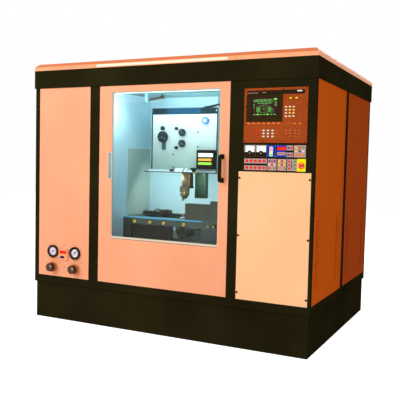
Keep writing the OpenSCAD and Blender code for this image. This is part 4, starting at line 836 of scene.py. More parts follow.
def module_pieces():
    plate = mm_box("module_plates")[0].y
    module_faces(plate)

    x, z, w, h = zone(MODULE_SHARES[BAR_MODULE])
    bar = Piece("level_bar", "cabinet", "key_cream", "white_frame", "bar_pink", "bar_yellow", "bar_green")
    bar.stack(front(x - 1, plate - 1, z - 3), 26, 66, 2.5, [(0, 0), (0, 0.8), (0.6, 1.3)])
    for i in range(12):
        tone = 1 if i > 5 else 2 if i > 2 else 3
        bar.stack(front(x - 1, plate - 2.3, z - 31 + 5.1 * i), 20, 3.9, 0.8, [(0, 0), (0, 0.4)], tone, 2)
    bar.done()

    x, z, w, h = zone(MODULE_SHARES[DISPLAY_MODULE])
    upper, lower = z + 17, z - 17
    lens = Piece("module_display", "cabinet", "button_red", "red_lens", "red_lit", "dark_lens")
    lens.stack(front(x, plate - 1, upper), 63, 21, 9, [(0, 0), (0, 1.0), (0.8, 1.8)])
    lens.stack(front(x - 25, plate - 2.8, upper), 8, 12, 3, [(0, 0), (0, 0.2)], 2)
    figures(lens, front, x - 14, plate - 2.8, upper, 12, (7, 13), "4286", 1)
    lens.done()
    pad = Piece("module_pad", "cabinet", "plate_grey", "plate_grey", "red", "dark_lens")
    pad.stack(front(x, plate - 1, lower), 62, 21, 5, [(0, 0), (0, 0.8), (0.6, 1.4)])
    for i in range(6):
        key = front(x - 22 + 8.8 * i, plate - 2.4, lower)
        pad.stack(key, 6, 6, 1, [(0, 0), (0, 0.5), (0.5, 0.9)], 1 + i % 2, 2)
    pad.done()

    boxes = islands("pad_buttons")
    found = {}
    for index, layout in PAD_COLOURS.items():
        x, z, w, h = zone(MODULE_SHARES[index])
        inside = [b for b in boxes if abs(middle(b).x - x) < w / 2 and abs(middle(b).z - z) < h / 2]
        for row, colours in zip(rows_of(inside), layout):
            for box, colour in zip(row, colours):
                found.setdefault(colour, []).append(box)
    slots = {"white": "key_cream", "yellow": "key_cream", "blue": "button_navy"}
    for colour, group in found.items():
        caps(colour + "_pads", "pad_buttons", "pad_button_groups", slots.get(colour, "button_mixed"), group,
             colour, 2.4)

    strips = Piece("strip_caps", "strip_button_rows", "button_red", "red", stands_for=("strip_buttons",))
    rings = Piece("strip_collars", "cabinet", "black_plastic", "plate_grey")
    for lo, hi in islands("strip_buttons"):
        m, r, t = middle((lo, hi)), (hi.x - lo.x) / 2, hi.y - lo.y
        strips.turned(front(m.x, hi.y, m.z), [(r, 0), (r, t - 1.6), (r - 0.5, t - 0.7), (r - 1.6, t - 0.1),
                                              (r - 2.4, t), (r - 3.2, t - 0.2), (r - 5, t - 0.75),
                                              (0, t - 1.0)], 0, 28)
        rings.turned(front(m.x, plate, m.z), [(r + 0.5, 0.02), (r + 2.4, 0.02), (r + 2.4, 0.5),
                                              (r + 1.6, 1.1), (r + 0.5, 1.1)], 0, 28)
    strips.done()
    rings.done()

    x, z, w, h = zone(MODULE_SHARES[SLIDER_MODULE])
    slider = Piece("slider_strip", "cabinet", "plate_grey", "black_plastic", "meter_white")
    slider.stack(front(x - 2, plate, z), 11, 66, 3, [(0, 0.02), (0, 0.4), (0.4, 0.7)], 1)
    slider.stack(front(x - 2, plate - 0.7, z), 2.4, 54, 1.2, [(0, 0), (0, 0.15)], 0, 2)
    slider.stack(front(x - 2, plate - 0.7, z - 8), 8, 6, 1.5, [(0, 0), (0, 2.2), (0.7, 2.8)], 0, 2)
    slider.done()

    corners = Piece("module_screws", "cabinet", "steel", "chrome")
    for index, share in enumerate(MODULE_SHARES):
        x, z, w, h = zone(share)
        out = 1.0 if index in (BAR_MODULE, DISPLAY_MODULE, STOP_MODULE) else 0
        corners.corner_screws(front, x, plate - out, z, w / 2 - 2.6, h / 2 - 2.6, 1.5)
    corners.done()


def stop_button_pieces():
    lo, hi = mm_box("stop_button")
    m, r, t = middle((lo, hi)), (hi.x - lo.x) / 2, hi.y - lo.y
    place = front(m.x, hi.y, m.z)
    cap = Piece("stop_mushroom", "emergency_stop", "button_red", "red", "arrow_pink",
                stands_for=("stop_button",))
    cap.turned(place, [(11, 0), (11, t - 9), (r - 1, t - 9), (r, t - 8), (r, t - 5.4), (r - 1.2, t - 3.4),
                       (r - 4.4, t - 1.5), (r - 9, t - 0.5), (0, t)], 0, 48)
    # Three arrows round the cap, each of short steps, the last three widened into its head
    arrow_r, stem_half, head_half, turn = 13, 1.7, 1.6, 0.13
    for start in round_the(3, 0.5):
        for i in range(10):
            a = start + turn * i
            wide = stem_half if i < 7 else stem_half + head_half * (10 - i) / 3
            ring = [polar(arrow_r + s * wide, c) for s, c in ((-1, a), (1, a), (1, a + turn), (-1, a + turn))]
            top = [(u, v, t - 0.45 - 0.055 * max(0, math.hypot(u, v) - 9)) for u, v in ring]
            cap.loft(place, [[(u, v, n - 1.2) for u, v, n in top], top], 1)
    cap.done()


def meter_faces():
    lo, hi = mm_box("panel_meters")
    faces = Piece("meter_scales", "cabinet", "meter_white", "scale_white", "black_plastic", "ink", "red")
    covers = Piece("meter_covers", "cabinet", "black_plastic", "black_plastic", "chrome")
    frames = Piece("meter_frames", "cabinet", "meter_white")
    lenses = Piece("meter_lenses", "cabinet", "glass")
    floor, swing, arc_r, arc_steps = lo.y + 5, 76, 33, 24
    for share in METER_SHARES:
        x, z, w, h = zone(share)
        low, pivot, top = con_z(share[1]), con_z(share[1] + 0.4 * share[3]), con_z(share[1] + 0.94 * share[3])
        faces.stack(front(x, floor, (pivot + top) / 2), 0.80 * w, top - pivot - 0.8, 1,
                    [(0, 0.05), (0, 0.5)], 0, 2)
        scale = front(x, floor - 0.5, pivot)
        for k in range(11):
            a = math.radians(-swing / 2 + swing / 10 * k)
            long = 3.6 if k % 5 == 0 else 2.2
            faces.stack(moved(moved(scale, 0, 0, 0, -a), 0, arc_r + long / 2), 0.7, long, 0.1,
                        [(0, 0), (0, 0.2)], 3 if k > 8 else 2, 1)
        for k in range(arc_steps):
            a, b = (math.radians(-swing / 2 + swing * i / arc_steps) for i in (k, k + 1))
            corners = [(r * math.sin(c), r * math.cos(c))
                       for r, c in ((arc_r - 0.6, a), (arc_r, a), (arc_r, b), (arc_r - 0.6, b))]
            faces.loft(scale, [[(u, v, n) for u, v in corners] for n in (0, 0.2)], 3 if k > 19 else 2)
        for k, text in enumerate(("0", "5", "10")):
            a = math.radians(-31 + 31 * k)
            faces.words(moved(scale, 27 * math.sin(a), 27 * math.cos(a)), text, 4.6, 2)
        half, shoulder = w / 2 - 0.6, pivot - low - 1
        hood = [(13 * math.cos(a), shoulder + 9 * math.sin(a)) for a in (math.pi * k / 12 for k in range(13))]
        bump = [(-half, 0), (half, 0), (half, shoulder)] + hood + [(-half, shoulder)]
        covers.loft(front(x, lo.y, low + 0.6), [[(u, v, n) for u, v in bump] for n in (0.02, 1.6)])
        covers.screw(front(x, lo.y - 1.6, pivot - 8), 3.2, 1)
        frames.ring(front(x, lo.y, z), rounded(w - 0.5, h - 0.5, 2), rounded(0.88 * w, h - 8, 3), 0.02, 1.3,
                    0, 0.6)
        lenses.stack(front(x, lo.y, (pivot + 1 + top) / 2 + 4), 0.88 * w + 3, top - pivot - 8, 2,
                     [(0, 0.15), (0, 0.9), (0.5, 1.3)], 0, 3)
    faces.done(False)
    covers.done(bevel=0.5)
    frames.done()
    lenses.done()


# Left bay

def gauge_pieces():
    dials = Piece("gauge_dials", "cabinet", "meter_white", "scale_pink", "black_plastic", "ink", "red")
    lenses = Piece("gauge_lenses", "cabinet", "glass")
    rims = Piece("gauge_rims", "cabinet", "black_plastic")
    nuts = Piece("gauge_stem_nuts", "cabinet", "brass")
    scale_r, tick_r, figure_r, first = 31, 29.6, 20.5, 225
    for joint in ("left_gauge_sweep", "right_gauge_sweep"):
        x, z = joint_xz(joint)
        base, scale = front(x, GAUGE_FLOOR, z), front(x, GAUGE_FLOOR - 0.6, z)
        dials.turned(base, [(scale_r, 0.05), (scale_r, 0.6), (0, 0.6)], 0, 48)
        dials.turned(base, [(scale_r, 0.05), (42.6, 0.05), (42.6, 1.2), (31.6, 1.2), (scale_r, 0.7)], 1, 48)
        for k in range(31):
            long, wide = (4.4, 0.8) if k % 5 == 0 else (2.4, 0.45)
            tick = moved(moved(scale, 0, 0, 0, math.radians(first - 9 * k)), tick_r - long / 2, 0)
            dials.stack(tick, long, wide, 0.1, [(0, 0), (0, 0.2)], 3 if k > 25 else 2, 1)
        for k in range(7):
            dials.words(moved(scale, *polar(figure_r, math.radians(first - 45 * k))), str(2 * k), 5.6, 2)
        glass = front(x, GAUGE_GLASS, z)
        rims.turned(glass, [(42.9, -1.5), (50, -1.5), (50.4, -0.8), (50.4, 0), (49.4, 1.0), (47.5, 1.5),
                            (45, 1.0), (43.4, 0.1), (42.9, -1.0)], 0, 64)
        lenses.turned(glass, [(42.7, 0.2), (42.7, 0.8), (36, 1.5), (24, 2.2), (12, 2.6), (0, 2.7)], 0, 48)
        nuts.turned(front(x, GAUGE_FLOOR - 4.9, z), [(3, 0), (3, 1.2), (2, 1.9), (0, 2.0)], 0, 16)
    dials.done(False)
    rims.done()
    lenses.done()
    nuts.done()


def fluted(r, out, depth_share=0.075, flutes=8, steps=96):
    """A knob's outline with grooves along it."""
    return [(*polar(r * (1 - depth_share * max(0, math.cos(flutes * a)) ** 3), a), out)
            for a in round_the(steps)]


def regulator_pieces():
    for side in ("left", "right"):
        node = side + "_regulator_knob"
        lo, hi = mm_box(node)
        m, deep = middle((lo, hi)), hi.y - lo.y
        knob = Piece(side + "_fluted_knob", side + "_regulator", "black_plastic", "knob_brown", "knob_rim",
                     "seal_pale", stands_for=(node,))
        place = front(m.x, hi.y, m.z)
        knob.turned(place, [(8.2, 0), (39, 0), (40, 1), (40, 5), (38.6, 9), (35, 10.4), (8.2, 10.4)], 1, 64)
        knob.loft(place, [fluted(34.6, 9.5), fluted(34.2, deep - 6), fluted(33, deep - 2.6),
                          fluted(30, deep - 0.8, 0.05), fluted(26, deep - 0.2, 0.01),
                          fluted(23, deep - 0.9, 0), fluted(1, deep - 1.2, 0)])
        # Painted highlight: a pale insert on the knob's face where a bright spot shows.
        knob.stack(moved(place, 15, 9, deep - 1.1, math.radians(25)), 7, 17, 3, [(0, -0.5), (0, 0.6)], 2, 3)
        knob.done()


def cell_meter_pieces():
    lo, hi = mm_box("conductivity_meter")
    x, y, z, w = (lo.x + hi.x) / 2, lo.y, lo.z, hi.x - lo.x
    shown = z + 0.73 * w
    red = Piece("cell_display", "cabinet", "button_red", "red_lens", "red_lit", "dark_lens")
    red.stack(front(x, y + 2, shown), 0.71 * w, 0.25 * w, 2, [(0, 0.05), (0, 2.6), (0.7, 3.2)])
    red.stack(front(x - 0.31 * w, y - 1.2, shown), 0.09 * w, 0.19 * w, 1, [(0, 0), (0, 0.2)], 2)
    figures(red, front, x - 12, y - 1.2, shown, 16, (8, 14), "184", 1)
    red.done()
    caps("reset_cap", "reset_button", "reset", "button_navy", [mm_box("reset_button")], "button_navy", 3, 0)
    marks = Piece("label_plates", "cabinet", "brown_paint", "label_brown")
    for label_x, label_z in ((-974.8, 489), (-756.7, 489), (-974.8, 366), (-756.7, 366), (-866, 425),
                             (-868, 606)):
        marks.stack(front(label_x, BAY_FACE, label_z), 13, 5, 1, [(0, 0.02), (0, 0.5), (0.3, 0.7)], 0, 2)
    marks.corner_screws(front, x, y - 2, z + w / 2, 0.44 * w, 0.44 * w, 3)
    marks.done()


# Work chamber

def ledge_pieces():
    lo, hi = mm_box("head_trim")
    side, top = lo.x + 45, hi.z
    band = Piece("header_plate", "cabinet", "dark_trim", "header_blue", "chrome")
    band.stack(front(-40, HEAD_FACE, top - 25), 300, 44, 3, [(0, 0.02), (0, 1.2), (0.8, 2.0)])
    for x in (side + 12, hi.x - 12):
        band.screw(front(x, HEAD_FACE, top - 25), 5, 1)
    band.done()

    apron = Piece("ledge_apron", "cabinet", "chamber_white", "apron_white")
    back, near = HEAD_FACE - 0.5, HEAD_FACE - 33.5
    for left, right, tall in ((-346, -104, 15), (-103, -29, 30), (-15, 8, 30), (9, hi.x - 1, 16)):
        apron.loft(Matrix.Identity(4), [[(x, near, LEDGE_TOP + 0.6), (x, back, LEDGE_TOP + tall),
                                         (x, back + 1, LEDGE_TOP + tall - 1), (x, near + 1, LEDGE_TOP + 0.1)]
                                        for x in (left, right)])
    apron.done(bevel=0.3)

    fittings = Piece("ledge_fittings", "cabinet", "dark_steel", "dark_steel", "teal_dark", "brass")
    fittings.stack(front(-122, -430, LEDGE_TOP + 13), 36, 18, 3, [(0, -8), (0, 8), (1.5, 10)])
    fittings.screw(front(-122, -440, LEDGE_TOP + 13), 5)
    funnel_x, funnel_y = 96, -472
    fittings.turned(upward(funnel_x, funnel_y, LEDGE_TOP), [(0, 0.5), (12, 0.5), (12, 6), (20, 17), (28, 26),
                                                            (30.5, 30), (30.5, 36), (28, 36), (17, 21),
                                                            (8, 8), (0, 8)], 1, 36)
    fittings.turned(upward(funnel_x, funnel_y, LEDGE_TOP - 13), [(0, 0), (8, 0), (8, 13.5), (0, 13.5)], 2, 6)
    fittings.block((funnel_x - 10, funnel_y - 2, LEDGE_TOP - 4), (funnel_x + 10, -437.8, LEDGE_TOP))
    fittings.done()


def disc_pieces():
    spots = Piece("drive_hubs", "cabinet", "steel", "disc_light", "dark_steel")
    for joint in ("upper_disc_spin", "lower_disc_spin", "spool_spin", "roller_spin"):
        x, z = joint_xz(joint)
        spots.turned(front(x, DISC_FACE - 3.3, z), [(0, 0), (8.6, 0), (8.6, 0.6), (7, 2), (3.2, 2.4),
                                                    (2.8, 1.2), (0, 1.2)], 0, 20)
    x, z = joint_xz("tension_arm_pivot")
    spots.turned(front(x, HEAD_FACE - 7.3, z), [(0, 0), (9, 0), (9, 2.4), (7, 3.4), (0, 3.4)], 1, 6)
    spots.done()

    x, z = joint_xz("tension_dial_turn")
    dial = Piece("tension_cap", "tension_dial", "blue_plastic", "white", "blue_plastic", "ink")
    place = front(x, DISC_FACE - 0.3, z)
    dial.turned(place, [(15, 0.02), (15, 1.6), (13.5, 2.6), (9, 3.2), (0, 3.4)], 0, 40)
    dial.turned(place, [(16.5, 0.02), (26.8, 0.02), (27, 0.8), (25.4, 3), (21, 3.6), (17.6, 2.6),
                        (16.5, 0.8)], 1, 48)
    dial.stack(moved(place, 0, 9.5, 3.0), 2, 7, 0.8, [(0, 0), (0, 0.6)], 2, 2)
    dial.done()

    for body, r, holes in (("spool", 45, 3), ("upper_disc", 29, 3), ("lower_disc", 29, 3), ("roller", 17, 0)):
        x, z = joint_xz(body + "_spin")
        place = front(x, DISC_FACE, z)
        face = Piece(body + "_face", body, "disc_plastic", "disc_plastic", "chrome", "disc_light")
        face.turned(place, [(9.6, 0.02), (r - 0.4, 0.02), (r - 0.4, 0.5), (r - 1.6, 1.3), (r - 4, 1.3),
                            (r - 5, 0.5), (13, 0.5), (12, 1.6), (9.6, 1.6)], 0, 56)
        face.turned(place, [(r - 3.2, 1.2), (r - 1.8, 1.2), (r - 1.8, 1.5), (r - 3.2, 1.5)], 2, 56)
        for a in round_the(holes, math.pi / 2):
            face.screw(moved(place, *polar(0.56 * r, a), 0.5), 0.11 * r, 1)
        face.done()

    x, z = joint_xz("spool_spin")
    wound = Piece("spool_winding", "spool", "brass")
    for k in range(3):
        low, inner, outer = -0.75 + 0.5 * k, 35.9 + 0.02 * k, 36.15
        wound.turned(front(x, WIRE_Y, z), [(inner, low), (outer, low), (outer, low + 0.3),
                                           (inner, low + 0.3)], 0, 72)
    wound.done()


def readout_pieces():
    lo, hi = mm_box("position_readout")
    rows = Piece("readout_rows", "cabinet", "black_plastic", "dark_lens", "row_white", "row_amber",
                 "row_green", "row_white_hot", "row_amber_hot", "row_green_hot")
    left = lo.x + 13
    for z, height, right, tone in ((1352, 29, 241, 1), (1316, 19, 230, 2), (1286, 19, 230, 3)):
        wide = right - left
        rows.stack(front(left + wide / 2, READOUT_FACE, z), wide, height, 3,
                   [(0, 0.02), (0, 0.6), (0.6, 1.0)], tone)
        figures(rows, front, left + 13, READOUT_FACE - 1.0, z, (wide - 20) / 6.4, (7.5, height - 7),
                "0273580", tone + 3)
    for i in range(5):
        rows.stack(front(left + 14 + 24 * i, READOUT_FACE, 1266), 9, 6, 1.5,
                   [(0, 0.02), (0, 1.2), (0.5, 1.8)], 0, 2)
    rows.done()
    case = Piece("readout_frame", "cabinet", "black_plastic")
    m, w, h = middle((lo, hi)), hi.x - lo.x, hi.z - lo.z
    case.ring(front(m.x, lo.y, m.z), rounded(w - 0.5, h - 0.5, 4), rounded(w - 17, h - 33, 3), -0.5, 1.5, 0,
              1.0)
    case.corner_screws(front, m.x, lo.y - 1.3, m.z, w / 2 - 5, h / 2 - 6, 2.6)
    case.done()


def chamber_pieces():
    cover = Piece("access_cover", "cabinet", "chamber_white", "access_teal", "chrome")
    cover.stack(to_right(LEFT_WALL, -233.5, 1001.5), 355, 795, 12, [(0, 0.05), (0, 1.0), (0.8, 1.6)])
    for y in (-396, -71):
        for z in (620, 1001, 1383):
            cover.screw(to_right(LEFT_WALL + 1.6, y, z), 4.5, 1)
    cover.done()
    knob = Piece("wall_knob", "cabinet", "chamber_white", "white")
    knob.turned(to_right(LEFT_WALL, -580, 728), [(15, 0.05), (15, 1), (9, 1.8), (9, 2.8), (15, 3.5), (16, 5),
                                                 (14, 6.5), (8, 7.2), (0, 7.4)], 0, 32)
    knob.done()
    lo, hi = mm_box("work_lamp")
    ends = Piece("lamp_collars", "cabinet", "chamber_white", "chrome")
    for x in (lo.x + 3, hi.x - 9):
        ends.turned(to_right(x, (lo.y + hi.y) / 2, lo.z + 15), [(15.2, 0), (16.6, 0), (16.6, 6), (15.2, 6)],
                    0, 28)
    ends.done()

    trim = Piece("ceiling_trim", "cabinet", "chamber_white", "ceiling_teal")
    under = 1847.6
    trim.block((-552, -672, under), (568, -56, under + 2))
    for y in (-520, -360, -200):
        trim.block((-540, y - 6, under - 1), (560, y + 6, under + 0.1))
    trim.done(bevel=0.4)

    lo, hi = next(box for box in islands("head_housing") if box[1].z < LEDGE_TOP + 1 and box[0].z < 1100)
    m, size = middle((lo, hi)), hi - lo
    # Painted shade: a dark teal-green cover over the white manifold, for the shade that falls on it right of the
    # ram.
    teal = Piece("manifold_cover", "cabinet", "chamber_white", "manifold_teal", "brass", "chrome")
    teal.loft(upward(m.x, m.y, lo.z), [[(u, v, n) for u, v in rounded(size.x + 2, size.y + 2, 4, 3)]
                                       for n in (-1, size.z - 0.4)])
    for k in range(3):
        teal.turned(front(m.x - 26 + 26 * k, lo.y - 1, lo.z + 26), [(0, 0), (8, 0), (8, 4), (5, 4), (5, 12),
                                                                    (6.2, 13), (4.4, 17), (3, 17), (3, 9),
                                                                    (0, 9)], 0, 18)
    for sx in BOTH:
        teal.screw(front(m.x + sx * 36, lo.y - 1, hi.z - 16), 4, 2)
    teal.done()


def ram_pieces():
    lo, hi = mm_box("z_ram")
    proud, strip_top = 0.18, 1196
    # Painted highlight: the brass strip down the ram's right edge stands for the light caught on that edge; the
    # left strip is steel.
    edge = Piece("ram_strips_and_highlight", "ram", "steel", "brass", "steel")
    edge.block((hi.x - 4, lo.y - proud, lo.z + 1), (hi.x + proud, lo.y + 5, strip_top))
    edge.block((lo.x - proud, lo.y - proud, lo.z + 1), (lo.x + 3, lo.y + 5, strip_top), 1)
    edge.done()
    scale = Piece("ram_scale", "ram", "steel", "dark_steel")
    for k in range(18):
        long = 9 if k % 5 == 0 else 5
        scale.stack(front(lo.x + 10 + long / 2, lo.y, lo.z + 8 + 5 * k), long, 0.7, 0.2,
                    [(0, 0.02), (0, 0.18)], 0, 1)
    scale.done()
    lo, hi = mm_box("v_slide")
    m = middle((lo, hi))
    slide_face = Piece("v_slide_face", "v_carriage", "dark_steel", "steel", "chrome")
    slide_face.stack(front(m.x, lo.y, m.z), 76, 12, 2, [(0, 0.02), (0, 1.2), (0.6, 1.8)])
    for x in (lo.x + 10, hi.x - 10):
        slide_face.screw(front(x, lo.y - 1.8, m.z), 3.4, 1)
    slide_face.done()


def guide_pieces():
    lo, hi = mm_box("guide_head")
    m, low, flat_r = middle((lo, hi)), hi.z - 50, 37.9
    nozzle = Piece("guide_details", "upper_guide", "chrome", "chrome", "brass", "guide_metal")
    nozzle.turned(upward(m.x, m.y, low), [(0, -34), (15, -34), (19, -31), (24, -20), (35, -9), (38, -6),
                                          (38, 3), (0, 3)], 2, 8)
    nozzle.turned(upward(WIRE_X, WIRE_Y, lo.z), [(3.2, -0.4), (6, -0.4), (9.4, 3), (9.4, 9), (11, 11),
                                                 (11, 14.6), (3.2, 14.6)], 1, 24)
    for k, a in enumerate(round_the(8, math.pi / 8)):
        spot = moved(upward(m.x, m.y, hi.z - 14) @ Matrix.Rotation(a + math.pi / 2, 4, "Z") @ front(0, 0, 0),
                     0, 0, flat_r)
        nozzle.screw(spot, 4.2, 2)
        if k in (0, 7):
            nozzle.turned(moved(spot, 0, -18), [(0, 0), (7, 0), (7, 1.6), (4.2, 2.4), (4.2, 3.8), (0, 3.8)],
                          1, 6)
    for x, tone in ((m.x - 16, 0), (m.x + 16, 1)):
        nozzle.turned(front(x, m.y - flat_r, low + 12), [(0, 0), (8.5, 0), (8.5, 2.6), (5.6, 3.2), (5.6, 3.9),
                                                         (0, 3.9)], tone, 6)
    nozzle.done()
    for name, body, profile, inner in (
            ("flushing_jet", "upper_guide", [(2.5, 986), (2.3, 960), (2.2, 930), (2.1, 903)], 1.8),
            ("lower_jet", "cabinet", [(1.3, 905), (1.5, 880), (1.6, 853)], 0.6)):
        # Painted light: the jets glow faintly, for the light that the water catches.
        jet = Piece(name, body, "glass", "jet")
        jet.turned(upward(WIRE_X, WIRE_Y, 0), profile + [(inner, profile[-1][1]), (inner, profile[0][1])], 0,
                   16)
        jet.done()


# Heights where one length of wire ends and the next begins, in millimetres, from the lower guide to the discs
WIRE_FOOT_TOP, RAM_WIRE_LOW, V_WIRE_LOW, U_WIRE_LOW, NOZZLE_LOW = 850, 772, 925, 955, 986
NOZZLE_HIGH, U_WIRE_HIGH, V_WIRE_HIGH, RAM_WIRE_HIGH, ROUTE_LOW = 1086, 1135, 1204, 1425, 1380


def wire_pieces():
    """The wire in lengths that slide past each other, so that it stays in its guides."""
    mesh = NODES["electrode_wire"].data
    foot_z = min(v.co.z for v in mesh.vertices)
    foot = [v.co for v in mesh.vertices if v.co.z < foot_z + 1e-6]
    left, right = min(v.x for v in foot), max(v.x for v in foot)
    x, y, r = (left + right) / 2, (min(v.y for v in foot) + max(v.y for v in foot)) / 2, (right - left) / 2
    on_v, on_u = ("ram", "v_carriage"), ("v_carriage", "upper_guide")
    for name, carrier, z0, z1, share in (("foot", "cabinet", foot_z / MM, WIRE_FOOT_TOP, 1.0),
                                         ("below_ram", "ram", RAM_WIRE_LOW, V_WIRE_LOW, 0.75),
                                         ("below_v", on_v, V_WIRE_LOW, U_WIRE_LOW, 0.75),
                                         ("below_u", on_u, U_WIRE_LOW, NOZZLE_LOW, 0.9),
                                         ("in_guide", "upper_guide", NOZZLE_LOW, NOZZLE_HIGH, 0.9),
                                         ("above_u", on_u, U_WIRE_HIGH, NOZZLE_HIGH, 0.9),
                                         ("above_v", on_v, V_WIRE_HIGH, U_WIRE_HIGH, 0.75),
                                         ("above_ram", "ram", V_WIRE_HIGH, RAM_WIRE_HIGH, 0.75)):
        piece = Piece("wire_" + name, carrier, "brass", stands_for=("electrode_wire",))
        if carrier in (on_v, on_u):
            piece.bend = (*carrier, (x, y, z0 * MM), (x, y, z1 * MM))
        steps = 16
        rings = [(r / MM * share, z0 + (z1 - z0) * k / steps) for k in range(steps + 1)]
        if name != "foot":
            rings = [(0, z0)] + rings + [(0, z1)]
        piece.turned(upward(x / MM, y / MM, 0), rings, 0, 8, name != "foot")
        piece.done()
    top = Piece("wire_route", "cabinet", "brass", stands_for=("electrode_wire",))
    top.bm.from_mesh(mesh)
    bmesh.ops.remove_doubles(top.bm, verts=top.bm.verts, dist=1e-6)
    bmesh.ops.bisect_plane(top.bm, geom=top.bm.verts[:] + top.bm.edges[:] + top.bm.faces[:],
                           plane_co=(0, 0, ROUTE_LOW * MM), plane_no=(0, 0, 1), clear_inner=True)
    bmesh.ops.scale(top.bm, vec=(1 / MM,) * 3, verts=top.bm.verts)
    top.done()


def knurled(r, out, count=24):
    """A round outline whose points stand in and out by turns."""
    return [(*polar(r * (1 + 0.03 * (-1) ** k), a), out) for k, a in enumerate(round_the(count))]


def table_pieces():
    lo, hi = mm_box("table")
    x0, x1, y0, top = lo.x + 0.6, hi.x - 0.6, lo.y, hi.z
    wide_to, skin = lo.x + 530, top + 0.5
    ground = Piece("table_ground_faces", "table", "steel", "ground_top")
    ground.block((x0, y0 + 0.6, top + 0.02), (wide_to, y0 + 59, skin))
    ground.block((wide_to, y0 + 0.6, top + 0.02), (x1, y0 + 18, skin))
    ground.done()
    # Painted highlight: a faintly glowing cyan strip along the table's front top edge, for the light it catches.
    cast = Piece("table_edge_glint", "table", "table_iron", "edge_cyan")
    cast.block((x0, y0 - 1.4, top - 9), (lo.x + 690, y0 - 0.02, skin))
    cast.done(bevel=0.6)
    label = Piece("motor_label", "table", "steel", "label_pink")
    label.stack(front(213, y0 - 0.02, 808.5), 62, 4, 1.5, [(0, 0), (0, 0.6), (0.3, 0.8)], 0, 2)
    motor = Piece("motor_end", "table", "black_plastic", "black_plastic", "dark_steel", "chrome")
    place = front(112, -670, 761)
    motor.turned(place, [(0, 0.02), (46, 0.02), (47.4, 1), (47.4, 3.4), (45, 5), (30, 6), (28, 4.4),
                         (12, 4.4), (11, 7), (0, 7)], 0, 56)
    for a in round_the(4, math.pi / 4):
        motor.screw(moved(place, *polar(37.5, a), 5), 3.8, 2)
    for a in round_the(12):
        motor.stack(moved(place, *polar(20, a), 4.3, a), 10, 2, 0.8, [(0, 0), (0, 0.5)], 1, 1)

    brass = Piece("table_knobs", "table", "brass", "brass_knob", "brass_dark")
    clamps = Piece("clamp_details", "table", "dark_steel", "dark_steel", "chrome")
    for blo, bhi in islands("work_clamps"):
        m, size = middle((blo, bhi)), bhi - blo
        if bhi.y < y0 and size.x < 30:
            if m.x < 300:
                r, deep, place = size.x / 2, size.y, front(m.x, bhi.y, m.z)
                brass.loft(place, [knurled(r + 0.5, 0.05), knurled(r + 0.6, deep - 2),
                                   knurled(r - 0.6, deep + 0.2), knurled(r - 3, deep + 0.8)])
                brass.screw(moved(place, 0, 0, deep + 0.8), r - 6, 1)
            else:
                brass.turned(front(m.x, blo.y, m.z), [(6.6, 0.02), (6.6, 1.6), (5.4, 2.6), (0, 3)], 0, 18)
        if size.x > 120 and size.z < 40:
            clamps.stack(upward(m.x, m.y, bhi.z), size.x - 4, size.y - 8, 6, [(0, 0.02), (0, 1.5), (2.5, 4)])
            for x in (blo.x + 26, bhi.x - 30):
                clamps.turned(upward(x, m.y, bhi.z + 4), [(0, 0), (13, 0), (13, 2), (9.4, 2.4), (9.4, 10),
                                                          (0, 10)], 1, 6)
        elif size.z > 60:
            for x in (34, 104, 174):
                clamps.screw(front(blo.x + x, blo.y, blo.z + 92), 7)
            clamps.stack(front(blo.x + 110, blo.y, blo.z + 48), 190, 34, 5, [(0, 0.02), (0, 2.2), (1.5, 3.6)])
            for k in range(6):
                clamps.turned(front(blo.x + 36 + 30 * k, blo.y - 3.6, blo.z + 48),
                              [(0, 0), (6, 0), (6, 3), (4.6, 3.8), (0, 3.8)], 0, 6)
    brass.done()
    label.done()
    motor.done()
    clamps.done(bevel=0.5)

    pleats = Piece("way_bellows", "table", "table_iron", "bellows")
    pitch, depth, sheet = 11.9, 6, 1.2
    fold = [(-376 + pitch * k, -662 + depth * (k % 2)) for k in range(35)]
    outline = fold + [(x, y + sheet) for x, y in reversed(fold)]
    pleats.loft(Matrix.Identity(4), [[(x, y, z) for x, y in outline] for z in (694, 799)])
    pleats.done(False)
    tip = Piece("lower_guide_ring", "cabinet", "steel", "chrome")
    tip.turned(upward(WIRE_X, WIRE_Y, WIRE_FOOT_TOP), [(22.4, 0.02), (29.6, 0.02), (29.6, 1.4), (28, 2.6),
                                                       (24, 2.6), (22.4, 1.2)], 0, 40)
    tip.done()


# Door

def arc(y, z, r, start, turn, count):
    """Points round a bend seen from the side."""
    spots = (polar(r, math.radians(start + turn * i)) for i in range(count))
    return [(y + u, z + v) for u, v in spots]


def window_pieces():
    left, right, low, high, corner = -421, 482, 709, 1813, 14
    w, h = right - left, high - low
    place = front((left + right) / 2, DOOR_FACE + 10, (low + high) / 2)
    seal = Piece("window_seal", "door", "steel", "seal_pale", "seal_dark")
    for outer, inner, rise, tone, slope in ((0.4, 9, 6.5, 0, 3), (9.2, 14, 2.6, 1, 1)):
        seal.ring(place, rounded(w - outer, h - outer, corner, 6), rounded(w - inner, h - inner, corner, 6),
                  0.05, rise, tone, slope)
    seal.done()
    sill = Piece("window_sill", "door", "steel", "seal_pale", "seal_dark")
    sill.block((left + 8, DOOR_FACE - 0.9, low - 8), (right - 8, DOOR_FACE + 0.1, low - 0.5))
    sill.block((left + 8, DOOR_FACE - 0.5, low - 12.5), (right - 8, DOOR_FACE + 0.1, low - 8.4), 1)
    sill.done(False)


